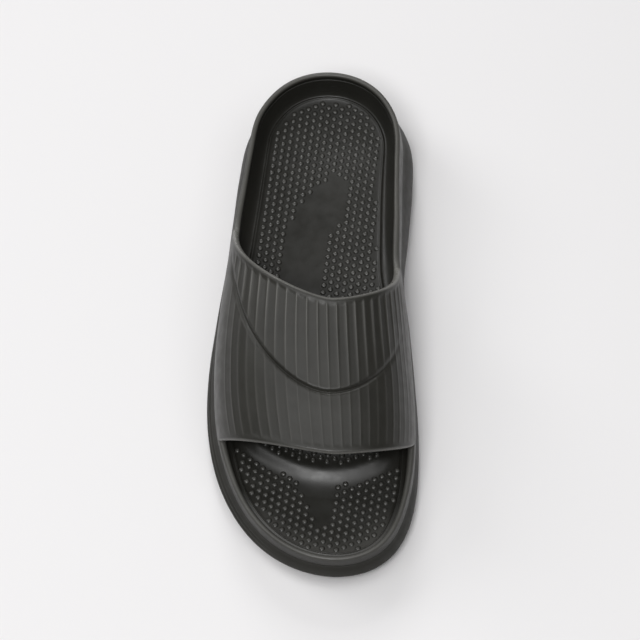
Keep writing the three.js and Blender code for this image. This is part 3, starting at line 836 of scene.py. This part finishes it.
@dataclass(frozen=True)
class StrapEdge:
    """An edge or groove that crosses the strap.

    Outer, middle and inner are shares of the length, at its two low ends and where it is furthest forward. Peak is
    where that is across the strap. Lead and hook shape the way there.
    """

    outer: float
    middle: float
    inner: float
    peak: float
    lead: float
    hook: float

    def share(self, across: Array) -> Array:
        """Gives where it crosses the strap's columns.

        Args:
            across: Places across the strap, from 0 at the outer side to 1 at the inner side.

        Returns:
            Shares of the length.
        """
        t = np.where(across <= self.peak, across / self.peak, (1 - across) / (1 - self.peak))
        corner = np.where(across <= self.peak, self.outer, self.inner)
        return mix(corner, self.middle, (1 - (1 - t) ** self.lead) ** self.hook)


class Opening(Enum):
    """The upper's openings, each by the strap's row at its edge."""

    THROAT = 0
    TOE = -1


@dataclass
class Upper:
    """The moulded upper: a ribbed strap with a curved groove, and the rim round heel and toe, in one shell."""

    shift: float
    throat: StrapEdge = StrapEdge(0.363, 0.566, 0.427, 0.548, 1.63, 0.94)
    smile: StrapEdge = StrapEdge(0.35, 0.729, 0.5, 0.526, 1.93, 1.21)
    front: StrapEdge = StrapEdge(0.764, 0.832, 0.75, 0.527, 1.65, 1.09)
    ribs: int = 28
    rib_samples: int = 14
    rib_depth: float = 0.55
    rib_sharpness: float = 3.5
    front_ribs: float = 0.35
    front_ribs_along: Range = (0.0, 1.3)
    # Painted highlight along the rib crests: its strength, and how it weakens towards the inner side and the front.
    crest_painted_highlight: float = 0.65
    inner_crest_highlight: float = 0.65
    inner_crest_highlight_across: Range = (0.33, 0.52)
    front_crest_highlight: float = 0.6
    front_crest_highlight_along: Range = (0.45, 1.2)
    # Painted highlight round the lips: at the throat, at the front and on the rim, blurred along the lip.
    throat_painted_sheen: float = 1.0
    front_painted_sheen: float = 0.6
    rim_painted_sheen: float = 0.4
    painted_sheen_blur: int = 4
    ribs_across: tuple[Range, Range] = ((0.1, 0.16), (0.9, 0.96))
    ribs_along: Range = (0.4, 3.0)
    smile_depth: float = 1.3
    smile_half: float = 0.95
    smile_step: float = 0.25
    smile_step_rise: float = 0.4
    smile_step_run: float = 9.0
    smile_ends: float = 0.3
    smile_margin: float = 1.7
    smile_across: tuple[Range, Range] = ((0.06, 0.2), (0.62, 0.94))
    smile_start: float = 0.12
    wall_rows: int = 8
    rear_rows: int = 54
    front_rows: int = 40
    heel_stations: int = 190
    toe_stations: int = 150
    lip_steps: int = 8
    corner_round: float = 2.5
    lip_reach: float = 0.007
    even_at: float = 0.65
    even_samples: int = 201
    across: Array = field(init=False)
    wall: Array = field(init=False)

    def __post_init__(self) -> None:
        """Lays out the strap's columns from the outer base over the crown to the inner base."""
        arch = self.ribs * self.rib_samples
        rise = np.linspace(0, 1, self.wall_rows + 1)
        self.across = np.concatenate([0 * rise[:-1], np.linspace(0, 1, arch + 1), 0 * rise[:-1] + 1])
        self.wall = np.concatenate([rise[:-1], np.ones(arch + 1), rise[:-1][::-1]])

    def even_share(self, side: float, share: Array) -> Array:
        """Gives even steps along the arch.

        Args:
            side: Sign of X of the side.
            share: Shares of the way along the arch from the rim to the crown.

        Returns:
            The same places as shares of the arch's angle.
        """
        at = np.array(self.even_at)
        low = LAST.angle_of_rise((LAST.rim_z(at) - LAST.upper_base_z(at)) / LAST.arch_height(at))
        turns = np.linspace(low, math.pi / 2, self.even_samples)
        x = LAST.arch_span(at, side) * np.clip(np.cos(turns), 0, 1) ** (2 / LAST.arch_power)
        z = LAST.arch_height(at) * np.sin(turns) ** (2 / LAST.arch_power)
        run = np.concatenate([[0], np.cumsum(np.hypot(np.diff(x), np.diff(z)))])
        return np.interp(share * run[-1], run, np.linspace(0, 1, self.even_samples))

    def surface(self, at: Array) -> Array:
        """Gives the smooth outer face.

        Args:
            at: Shares of the length, as rows and the strap's columns.

        Returns:
            Points of the same rows and columns.
        """
        across = self.across
        side = np.where(across <= 0.5, -1.0, 1.0)
        height, base = LAST.arch_height(at), LAST.upper_base_z(at)
        rim_rise = (LAST.rim_z(at) - base) / height
        climb = self.wall * rim_rise * height
        inset = LAST.wall_inset(at, side, climb)
        wall = np.stack([LAST.middle(at) + side * (LAST.half(at) - inset), LAST.y(at), base + climb], -1)
        even = np.where(across <= 0.5, self.even_share(-1, 2 * across), self.even_share(1, 2 - 2 * across))
        turn = mix(LAST.angle_of_rise(rim_rise), math.pi / 2, even)
        reach = LAST.arch_span(at, side) * np.clip(np.cos(turn), 0, 1) ** (2 / LAST.arch_power)
        rise = height * np.sin(turn) ** (2 / LAST.arch_power)
        arch = np.stack([LAST.crown_x(at) + side * reach, LAST.y(at), base + rise], -1)
        is_wall = (across <= 0) | (across >= 1)
        return np.where(is_wall[..., None], wall, arch)

    def row_share(self, part: Array) -> Array:
        """Gives where each row of the strap crosses each of its columns.

        Args:
            part: The rows' places between throat, groove and front edge.

        Returns:
            Shares of the length.
        """
        across = self.across
        throat, smile, front = (edge.share(across) for edge in (self.throat, self.smile, self.front))
        part = part[:, None]
        crossing = np.where(part < 1, mix(throat, smile, part), mix(smile, front, part - 1))
        inner = np.minimum(across, 1 - across)
        return mix(mix(throat, front, FOOT_SHARE(part)), crossing, smooth(inner, 0, self.smile_start))

    def normals(self, at: Array, points: Array) -> Array:
        """Gives the outward normals of the smooth face.

        Args:
            at: Shares of the length, as rows and columns.
            points: The smooth face.

        Returns:
            Vectors of length 1, level along the base.
        """
        step = 0.002
        along = self.surface(at + step) - self.surface(at - step)
        across = np.gradient(points, axis=1)
        normal = -unit(np.cross(across, along))
        base = self.wall == 0
        normal[:, base, 2] = 0
        return unit(normal)

    def relief(self, part: Array, at: Array, points: Array) -> tuple[Array, Array]:
        """Works out the depth of ribs and groove.

        Args:
            part: The rows' places between throat, groove and front edge.
            at: Shares of the length, as rows and columns.
            points: The smooth face; not used.

        Returns:
            The depths below the smooth face, and the painted highlight along the rib crests, weaker towards the inner
            side and the front.
        """
        across = self.across

        def window(limits: tuple[Range, Range]) -> Array:
            """Gives the strength across the strap between two soft ends."""
            return smooth(across, *limits[0]) * (1 - smooth(across, *limits[1]))

        from_throat = (at - self.throat.share(across)) * LAST.length
        from_front = (self.front.share(across) - at) * LAST.length
        along = smooth(from_throat, *self.ribs_along) * smooth(from_front, *self.ribs_along)
        phase = (across * self.ribs) % 1
        scallop = 1 - np.abs(2 * phase - 1) ** self.rib_sharpness
        weaker = mix(1, self.front_ribs, smooth(part, *self.front_ribs_along))[:, None]
        strength = window(self.ribs_across) * along * weaker

        smile_at = self.smile.share(across)[None, :]
        line = self.surface(smile_at)[0]
        tangent = unit(np.gradient(line, axis=0))
        ahead = (at - smile_at) * LAST.length * np.sqrt(np.clip(1 - tangent[:, 1] ** 2, 0.05, 1))
        groove = self.smile_depth * np.exp(-((ahead / self.smile_half) ** 2))
        step = smooth(ahead, -self.smile_step_rise, self.smile_step_rise) * (1 - smooth(ahead, 0, self.smile_step_run))
        ends = smooth(np.minimum(part, 2 - part), 0, self.smile_ends)[:, None]
        smile = (groove + self.smile_step * step) * window(self.smile_across) * ends
        strength = strength * (1 - np.exp(-((ahead / self.smile_margin) ** 2)) * window(self.smile_across))
        # Painted highlight along the rib crests, weaker towards the inner side and the front, as the light falls.
        inner_highlight_fade = mix(1, self.inner_crest_highlight, smooth(across, *self.inner_crest_highlight_across))
        front_highlight_fade = mix(1, self.front_crest_highlight, smooth(part, *self.front_crest_highlight_along))[:, None]
        crest = (1 - scallop) ** 2 * strength * inner_highlight_fade * front_highlight_fade * self.crest_painted_highlight
        return self.rib_depth * scallop * strength + smile, crest

    def rim(self, angle: Array) -> tuple[Array, Array]:
        """Gives the two faces of the rim.

        Args:
            angle: The stations.

        Returns:
            The outer and the inner face, as stations and heights from the base up.
        """
        angle = angle[:, None]
        at, side = LAST.share(angle), LAST.side(angle)
        base = LAST.upper_base_z(at)
        climb = np.linspace(0, 1, self.wall_rows + 1) * (LAST.rim_z(at) - base)
        inset = LAST.wall_inset(at, side, climb)
        wide = np.broadcast_to(angle, inset.shape)
        outer = LAST.ring(wide, inset)
        inner = LAST.ring(wide, inset + LAST.wall_thickness(at))
        return lifted(outer, base + climb), lifted(inner, base + climb)

    def lip(self, outer: Array, inner: Array, away: Array) -> Array:
        """Gives a half-round lip between two loops.

        Args:
            outer: The loop on the outer face.
            inner: The loop on the inner face.
            away: Roughly the direction out of the foam at each point.

        Returns:
            Rows of points from the outer to the inner loop.
        """
        gap = np.linalg.norm(np.diff(outer, axis=0), axis=1)
        run = np.concatenate([[0], np.cumsum(gap)])
        total = run[-1]
        apart = np.abs(run[:, None] - run[None, :])
        apart = np.minimum(apart, total - apart)
        weight = np.exp(-((apart / self.corner_round) ** 2)) * np.gradient(run)[None, :]
        away = weight @ away
        radius, middle = (outer - inner) / 2, (outer + inner) / 2
        across = unit(radius)
        away = unit(away - across * np.sum(away * across, -1, keepdims=True))
        size = np.linalg.norm(radius, axis=-1, keepdims=True)
        rows = []
        for i in range(self.lip_steps + 1):
            turn = math.pi * i / self.lip_steps
            rows.append(middle + radius * math.cos(turn) + away * size * math.sin(turn))
        rows[0], rows[-1] = outer, inner
        return np.array(rows)

    def opening_lip(
        self, opening: Opening, at: Array, strap: tuple[Array, Array], rim: tuple[Array, Array]
    ) -> tuple[Array, Array]:
        """Gives the lip round one opening.

        Args:
            opening: The opening.
            at: Shares of the length of the strap's points, as rows and columns.
            strap: The strap's outer and inner face.
            rim: The outer and inner face of the rim that meets it there.

        Returns:
            The lip's rows of points, and the painted highlight of each point, for the light that the round lip
            catches.
        """
        is_throat = opening is Opening.THROAT
        arch = slice(self.wall_rows, len(self.across) - self.wall_rows)
        order = slice(None, None, 1 if is_throat else -1)
        edge_at = at[[opening.value]]
        beyond = edge_at + (self.lip_reach if is_throat else -self.lip_reach)
        off = (self.surface(edge_at) - self.surface(beyond))[0, arch][order]
        up = rim[0][:, -1] - rim[0][:, -2]
        loops = []
        for rim_face, strap_face in zip(rim, strap):
            edge = strap_face[opening.value, arch][order]
            loops.append(np.concatenate([rim_face[:, -1], edge[1:-1], rim_face[:1, -1]]))
        lip = self.lip(*loops, np.concatenate([unit(up), unit(off)[1:-1], unit(up[:1])]))
        lip[:, -1] = lip[:, 0]
        # Painted highlight round the lip: strongest at the throat, weaker at the front and on the rim, brightest along
        # the lip's round middle.
        painted_sheen = np.full(lip.shape[1], self.throat_painted_sheen if is_throat else self.front_painted_sheen)
        painted_sheen[: len(up)] = self.rim_painted_sheen
        window = 2 * self.painted_sheen_blur + 1
        painted_sheen = np.convolve(np.pad(painted_sheen, self.painted_sheen_blur, mode="wrap"), np.ones(window) / window, "valid")
        painted_sheen[-1] = painted_sheen[0]
        return lip, np.sin(np.linspace(0, math.pi, len(lip)))[:, None] * painted_sheen

    def build(self) -> bpy.types.Object:
        """Builds the upper as one closed shell.

        Returns:
            The new object.
        """
        rear = (1 - np.cos(np.linspace(0, math.pi, self.rear_rows + 1))) / 2
        fore = 1 + (1 - np.cos(np.linspace(0, math.pi, self.front_rows + 1))) / 2
        part = np.concatenate([rear, fore[1:]])
        at = self.row_share(part)
        points = self.surface(at)
        normal = self.normals(at, points)
        depth, crest = self.relief(part, at, points)
        outer = points - normal * depth[..., None]
        inner = points - normal * LAST.wall_thickness(at)[..., None]

        n = self.wall_rows + 1
        turn = 2 * math.pi
        heel_angle = np.linspace(
            turn - LAST.angle(self.throat.inner), turn + LAST.angle(self.throat.outer), self.heel_stations + 1
        )
        toe_angle = np.linspace(
            LAST.angle(self.front.outer), turn - LAST.angle(self.front.inner), self.toe_stations + 1
        )
        heel_outer, heel_inner = self.rim(heel_angle)
        toe_outer, toe_inner = self.rim(toe_angle)
        for rim, face in ((heel_outer, outer), (heel_inner, inner)):
            rim[0], rim[-1] = face[0, ::-1][:n], face[0, :n]
        for rim, face in ((toe_outer, outer), (toe_inner, inner)):
            rim[0], rim[-1] = face[-1, :n], face[-1, ::-1][:n]

        skin = Patchwork()
        # The outer face carries the painted highlight of the rib crests.
        skin.grid(outer, crest)
        for face in (inner, heel_outer, heel_inner, toe_outer, toe_inner):
            skin.grid(face)

        base = [
            np.concatenate([heel[:-1, 0], face[:-1, 0], toe[:-1, 0], face[::-1, -1]])
            for heel, face, toe in ((heel_outer, outer, toe_outer), (heel_inner, inner, toe_inner))
        ]
        skin.grid(np.array(base))

        for opening, rim in ((Opening.THROAT, (heel_outer, heel_inner)), (Opening.TOE, (toe_outer, toe_inner))):
            skin.grid(*self.opening_lip(opening, at, (outer, inner), rim))
        upper = skin.sew("ribbed_upper", self.shift)
        dress(upper, UPPER_FOAM, Slot.UPPER, "upper")
        return upper


@dataclass
class Footbed:
    """The moulded footbed: a sloping edge with a bead, a dished bed with a toe ridge, and rows of small dots."""

    shift: float
    stations: int = 360
    edge_drop: float = 2.4
    edge_climb: float = 7.0
    edge_slope: float = 7.5
    bed_dish: float = 3.2
    bead_run: float = 1.05
    bead_height: float = 0.8
    bead_half: float = 0.13
    bed_start: float = 1.25
    ridge_height: float = 3.4
    ridge_place: float = 0.804
    ridge_bow: float = 0.098
    ridge_rear: float = 16.0
    ridge_front: float = 6.5
    ridge_fade: float = 0.3
    ridge_bare: Range = (-0.5, 9.0)
    # Painted highlight on the bed's slope at the toe, where light from behind falls.
    toe_painted_highlight: float = 0.7
    toe_painted_highlight_along: Range = (0.86, 0.97)
    toe_painted_highlight_width: float = 9.0
    fit: float = 0.06
    dot_pitch: float = 4.2
    dot_radius: float = 1.5
    dot_height: float = 0.7
    dot_turn: float = 2.8
    dot_margin: float = 1.0
    dot_sides: int = 12
    dot_reach: int = 48
    dome: tuple[Range, ...] = ((1.2, -0.25), (1.0, 0.12), (0.82, 0.46), (0.6, 0.74), (0.32, 0.93))
    under_shares: tuple[float, ...] = (1, 0.6, 0.3)
    side_rows: int = 7
    slope_rows: int = 30
    bed_rows: int = 34

    def edge_z(self, at: Array) -> Array:
        """Gives the height of the footbed's edge.

        Args:
            at: Shares of the length.

        Returns:
            The heights: below the rim where that is free, and over the bed beside the strap.
        """
        free = LAST.rim_z(at) - self.edge_drop * DROP_SHARE(at)
        held = LAST.bed_middle_z(at) + self.edge_climb * CLIMB_SHARE(at)
        return mix(free, held, HELD(at))

    def wall_inset(self, angle: Array, height: Array) -> Array:
        """Gives how far inside the outline the footbed's side lies.

        Args:
            angle: The stations.
            height: Height above the upper's base.

        Returns:
            The insets.
        """
        at, side = LAST.share(angle), LAST.side(angle)
        inset = LAST.wall_inset(at, side, height)
        lean = LAST.wall_inset(at, side, height + 1) - inset
        return inset + LAST.wall_thickness(at) * np.hypot(1, lean) + self.fit

    def edge_inset(self, angle: Array) -> Array:
        """Gives how far inside the outline the footbed's top edge lies."""
        at = LAST.share(angle)
        return self.wall_inset(angle, self.edge_z(at) - LAST.upper_base_z(at))

    def bead_z(self, angle: Array) -> Array:
        """Gives the height at the foot of the bead."""
        return LAST.bed_middle_z(LAST.spine_share(angle)) + self.bed_dish * DISH_SHARE(LAST.share(angle))

    def under_rings(self, angle: Array) -> list[Array]:
        """Gives the rings of the underside, just above the sole's seat.

        Args:
            angle: The stations.

        Returns:
            Rings of points, from the middle line out.
        """
        inset = self.wall_inset(angle, 0 * angle)
        edge = LAST.seam_z(LAST.share(angle))
        return [
            lifted(LAST.ring(angle, inset, share), LAST.seat_z(angle, edge, share) + LAST.clearance)
            for share in self.under_shares
        ]

    def side_rings(self, angle: Array) -> list[Array]:
        """Gives the rings of the side against the upper.

        Args:
            angle: The stations.

        Returns:
            Rings of points, from the base to the edge.
        """
        at = LAST.share(angle)
        base = LAST.upper_base_z(at)
        rings = []
        for share in np.linspace(0, 1, self.side_rows):
            height = share * (self.edge_z(at) - base)
            rings.append(lifted(LAST.ring(angle, self.wall_inset(angle, height)), base + height))
        return rings

    def top_rings(self, angle: Array) -> list[Array]:
        """Gives the rings of slope, bead and bed.

        Args:
            angle: The stations.

        Returns:
            Rings of points, from the edge to the middle line.
        """
        at = LAST.share(angle)
        inset, slope = self.edge_inset(angle), self.edge_slope * SLOPE_SHARE(at)
        edge, bead = self.edge_z(at), self.bead_z(angle)
        rings = []
        for width in np.linspace(0.04, self.bed_start, self.slope_rows):
            plan = LAST.ring_by_width(angle, inset, width * slope)
            z = mix(edge, bead, np.sin(np.minimum(width, 1) * math.pi / 2))
            z = z + self.bead_height * np.exp(-(((width - self.bead_run) / self.bead_half) ** 2))
            rings.append(lifted(plan, z))
        start = LAST.ring_by_width(angle, inset, self.bed_start * slope)
        spine, middle = LAST.spine(angle), LAST.bed_middle_z(LAST.spine_share(angle))
        for share in np.linspace(0.03, 1, self.bed_rows):
            plan = mix(start, spine, share)
            z = mix(bead, middle, 1 - (1 - share) ** 2)
            rings.append(lifted(plan, z + self.ridge(plan) * smooth(share, 0, self.ridge_fade)))
        return rings

    def ridge(self, plan: Array) -> Array:
        """Gives the height of the curved ridge under the toes."""
        ahead = self.ahead_of_ridge(plan)
        return self.ridge_height * np.exp(-((ahead / np.where(ahead < 0, self.ridge_rear, self.ridge_front)) ** 2))

    def ahead_of_ridge(self, plan: Array) -> Array:
        """Gives how far points lie in front of the ridge's curved crest.

        Args:
            plan: Points in plan.

        Returns:
            The distances along the foot, less than 0 behind the crest.
        """
        at = LAST.share_of_y(plan[..., 1])
        across = (plan[..., 0] - LAST.crown_x(at)) / np.maximum(LAST.half(at), 1)
        return (at - self.ridge_place + self.ridge_bow * across**2) * LAST.length

    def dotted(self, x: Array, y: Array, border: Array) -> Array:
        """Says which places carry a dot.

        Args:
            x: Places across the foot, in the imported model.
            y: Places along the foot.
            border: The bed's own border in plan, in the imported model.

        Returns:
            True where there is a dot.
        """
        at = LAST.share_of_y(y)
        apart = np.hypot(x[:, None] - border[None, :, 0], y[:, None] - border[None, :, 1])
        fits = inside(x, y, border) & (apart.min(axis=1) > self.dot_margin)
        in_patch = (at > BARE_PATCH[0][0]) & (at < BARE_PATCH[-1][0]) & (x > PATCH_OUTER(at)) & (x < PATCH_INNER(at))
        in_tongue = (at > BARE_TONGUE[0][0]) & (at < BARE_TONGUE[-1][0])
        in_tongue &= (x > TONGUE_OUTER(at)) & (x < TONGUE_INNER(at))
        ahead = self.ahead_of_ridge(np.stack([x - self.shift, y], -1))
        on_ridge = (ahead > self.ridge_bare[0]) & (ahead < self.ridge_bare[1])
        return fits & ~in_patch & ~in_tongue & ~on_ridge

    def dot_places(self) -> tuple[Array, Array]:
        """Lays out the dots in staggered rows, turned a little against the foot.

        Returns:
            Their places across and along the foot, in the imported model.
        """
        angle = np.linspace(0, 2 * math.pi, self.stations + 1)
        slope = self.edge_slope * SLOPE_SHARE(LAST.share(angle))
        border = LAST.ring_by_width(angle, self.edge_inset(angle), self.bed_start * slope) + (self.shift, 0)
        turn = math.radians(self.dot_turn)
        steps = np.arange(-self.dot_reach, self.dot_reach + 1)
        i, j = np.meshgrid(steps, steps, indexing="ij")
        across = (i * self.dot_pitch * math.sqrt(3) / 2).ravel()
        along = ((j + 0.5 * (i % 2)) * self.dot_pitch).ravel()
        x = across * math.cos(turn) + along * math.sin(turn)
        y = -across * math.sin(turn) + along * math.cos(turn)
        keep = self.dotted(x, y, border)
        return x[keep], y[keep]

    def dome_points(self) -> Array:
        """Gives the points of one dot, ring by ring from its foot, and its top last.

        Returns:
            The points about the middle of its foot.
        """
        spin = np.arange(self.dot_sides) * 2 * math.pi / self.dot_sides
        points = [
            (wide * math.cos(t) * self.dot_radius, wide * math.sin(t) * self.dot_radius, high * self.dot_height)
            for wide, high in self.dome
            for t in spin
        ]
        return np.array([*points, (0, 0, self.dot_height)])

    def dots(self, bed: bpy.types.Object) -> bpy.types.Object:
        """Makes the dots as one mesh of small domes that stand on the bed.

        Args:
            bed: The footbed, already made.

        Returns:
            The new object.
        """
        dome, sides = self.dome_points(), self.dot_sides
        tree = BVHTree.FromObject(bed, bpy.context.evaluated_depsgraph_get())
        points, faces, painted_highlight = [], [], []
        for x, y in zip(*self.dot_places()):
            place, normal, _, _ = tree.ray_cast(Vector((x * MM, y * MM, 0.2)), Vector((0, 0, -1)))
            if place is None:
                continue
            frame = np.array(normal.to_track_quat("Z", "Y").to_matrix())
            start = len(points) * len(dome)
            points.append(dome @ frame.T + np.array(place) / MM)
            # Painted highlight on each dot's top.
            painted_highlight.append(np.clip(dome[:, 2] / self.dot_height, 0, 1) ** 3)
            for ring in range(len(self.dome) - 1):
                for k in range(sides):
                    a, b = start + ring * sides + k, start + ring * sides + (k + 1) % sides
                    faces.append((a, b, b + sides, a + sides))
            top = start + len(dome) - 1
            last = top - sides
            faces.extend((last + k, last + (k + 1) % sides, top) for k in range(sides))
        mesh = bpy.data.meshes.new("footbed_dots")
        mesh.from_pydata((np.concatenate(points) * MM).tolist(), [], faces)
        mesh.attributes.new("painted_highlight", "FLOAT", "POINT").data.foreach_set("value", np.concatenate(painted_highlight))
        mesh.shade_smooth()
        made = bpy.data.objects.new("footbed_dots", mesh)
        bpy.context.scene.collection.objects.link(made)
        log.info("%d dots", len(points))
        return made

    def build(self) -> bpy.types.Object:
        """Builds the footbed and its dots.

        Returns:
            The footbed's object.
        """
        angle = np.linspace(0, 2 * math.pi, self.stations + 1)
        angle[-1] = 0
        hidden = [*self.under_rings(angle), *self.side_rings(angle)]
        top = self.top_rings(angle)
        from_edge = np.linalg.norm(np.array(top)[..., :2] - hidden[-1][..., :2], axis=-1)
        # Painted highlight: the bed's slope at the toe gets a lighter tone, fading away from its edge.
        painted_sheen = self.toe_painted_highlight * smooth(LAST.share(angle), *self.toe_painted_highlight_along)
        toe_highlight = painted_sheen * np.exp(-((from_edge / self.toe_painted_highlight_width) ** 2))
        painted_highlight = np.concatenate([np.zeros((len(hidden), len(angle))), toe_highlight])
        skin = Patchwork()
        skin.grid(np.array([*hidden, *top]), painted_highlight)
        bed = skin.sew("footbed_body", self.shift)
        dress(bed, BED_FOAM, Slot.FOOTBED, "insole")
        dress(self.dots(bed), BED_FOAM, Slot.FOOTBED)
        return bed


@dataclass(frozen=True)
class View:
    """The photograph's viewpoint, aimed at the one sandal, with the photograph's lean and a longer lens."""

    place: tuple[float, float, float] = (112.97, -747.9, 1432.7)
    look: tuple[float, float, float] = (-0.02866, 0.46860, -0.88295)
    right: tuple[float, float, float] = (0.99813, 0.06105, 0.0)
    aim: tuple[float, float, float] = (0.0, -1.5, 22.0)
    focal_pixels: float = 2153.6
    enlarge: float = 1.4
    picture: int = 640
    sensor: float = 36.0
    clip_metres: Range = (0.05, 20.0)

    def build(self) -> bpy.types.Object:
        """Makes the camera.

        Returns:
            The camera's object.
        """
        place, look, right = Vector(self.place), Vector(self.look).normalized(), Vector(self.right)
        turn = look.rotation_difference((Vector(self.aim) - place).normalized())
        look, right = turn @ look, turn @ right
        above = right.cross(look)
        data = bpy.data.cameras.new("camera")
        data.sensor_width = self.sensor
        data.lens = self.focal_pixels * self.enlarge / self.picture * self.sensor
        data.clip_start, data.clip_end = self.clip_metres
        camera = bpy.data.objects.new("camera", data)
        basis = Matrix((right, above, -look)).transposed()
        camera.matrix_world = Matrix.Translation(place * MM) @ basis.to_4x4()
        bpy.context.scene.collection.objects.link(camera)
        bpy.context.scene.camera = camera
        return camera


@dataclass(frozen=True)
class SoftBox:
    """An area light aimed at the sandal, in metres and watts."""

    name: str
    place: tuple[float, float, float]
    width: float
    depth: float
    power: float

    def build(self) -> None:
        """Makes the light."""
        data = bpy.data.lights.new(self.name, "AREA")
        data.shape, data.size, data.size_y, data.energy = "RECTANGLE", self.width, self.depth, self.power
        lamp = bpy.data.objects.new(self.name, data)
        lamp.location = self.place
        lamp.rotation_euler = (-Vector(self.place)).to_track_quat("-Z", "Y").to_euler()
        bpy.context.scene.collection.objects.link(lamp)


@dataclass
class Studio:
    """A plain pale floor, in metres, under soft lights above, before the toe, behind the heel and outside."""

    floor_side: float = 8.0
    floor_tone: tuple[float, float, float] = (0.86, 0.85, 0.855)
    floor_roughness: float = 0.9
    floor_gloss: float = 0.1
    sky: float = 0.12
    lights: tuple[SoftBox, ...] = (
        SoftBox("front_light", (-0.2, -1.0, 1.85), 0.7, 0.5, 16.0),
        SoftBox("top_light", (-0.05, -0.25, 2.0), 3.0, 1.3, 20.0),
        SoftBox("back_light", (-0.25, 1.6, 1.3), 0.5, 0.5, 9.5),
        SoftBox("left_light", (-1.5, 0.7, 1.2), 0.9, 0.9, 8.0),
    )

    def build(self) -> None:
        """Makes floor, sky and lights."""
        half = self.floor_side / 2
        mesh = bpy.data.meshes.new("floor")
        corners = [(-half, -half, 0), (half, -half, 0), (half, half, 0), (-half, half, 0)]
        mesh.from_pydata(corners, [], [(0, 1, 2, 3)])
        floor = bpy.data.objects.new("floor", mesh)
        bpy.context.scene.collection.objects.link(floor)
        paint = bpy.data.materials.new("floor_paint")
        paint.use_nodes = True
        shader = paint.node_tree.nodes["Principled BSDF"]
        shader.inputs["Base Color"].default_value = (*self.floor_tone, 1)
        shader.inputs["Roughness"].default_value = self.floor_roughness
        shader.inputs["Specular IOR Level"].default_value = self.floor_gloss
        mesh.materials.append(paint)
        world = bpy.data.worlds.new("studio")
        world.use_nodes = True
        background = world.node_tree.nodes["Background"]
        background.inputs["Color"].default_value = (1, 1, 1, 1)
        background.inputs["Strength"].default_value = self.sky
        bpy.context.scene.world = world
        for light in self.lights:
            light.build()


def main() -> None:
    """Sets up the view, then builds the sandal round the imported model, and its studio."""
    logging.basicConfig(level=logging.INFO, format="%(message)s")
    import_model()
    bpy.context.scene.view_settings.view_transform = "Standard"
    View().build()
    low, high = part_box("sole")
    across = LAST.outline(np.linspace(0, 2 * math.pi, 4001))[:, 0]
    shift = (low[0] + high[0]) / 2 / MM - (across.min() + across.max()) / 2
    log.info("the form lies %.3f mm towards +X in the packed model", shift)
    for piece in (Sole(shift), Upper(shift), Footbed(shift)):
        made = piece.build()
        log.info("%s is made", made.name)
    Studio().build()


if __name__ == "__main__":
    main()
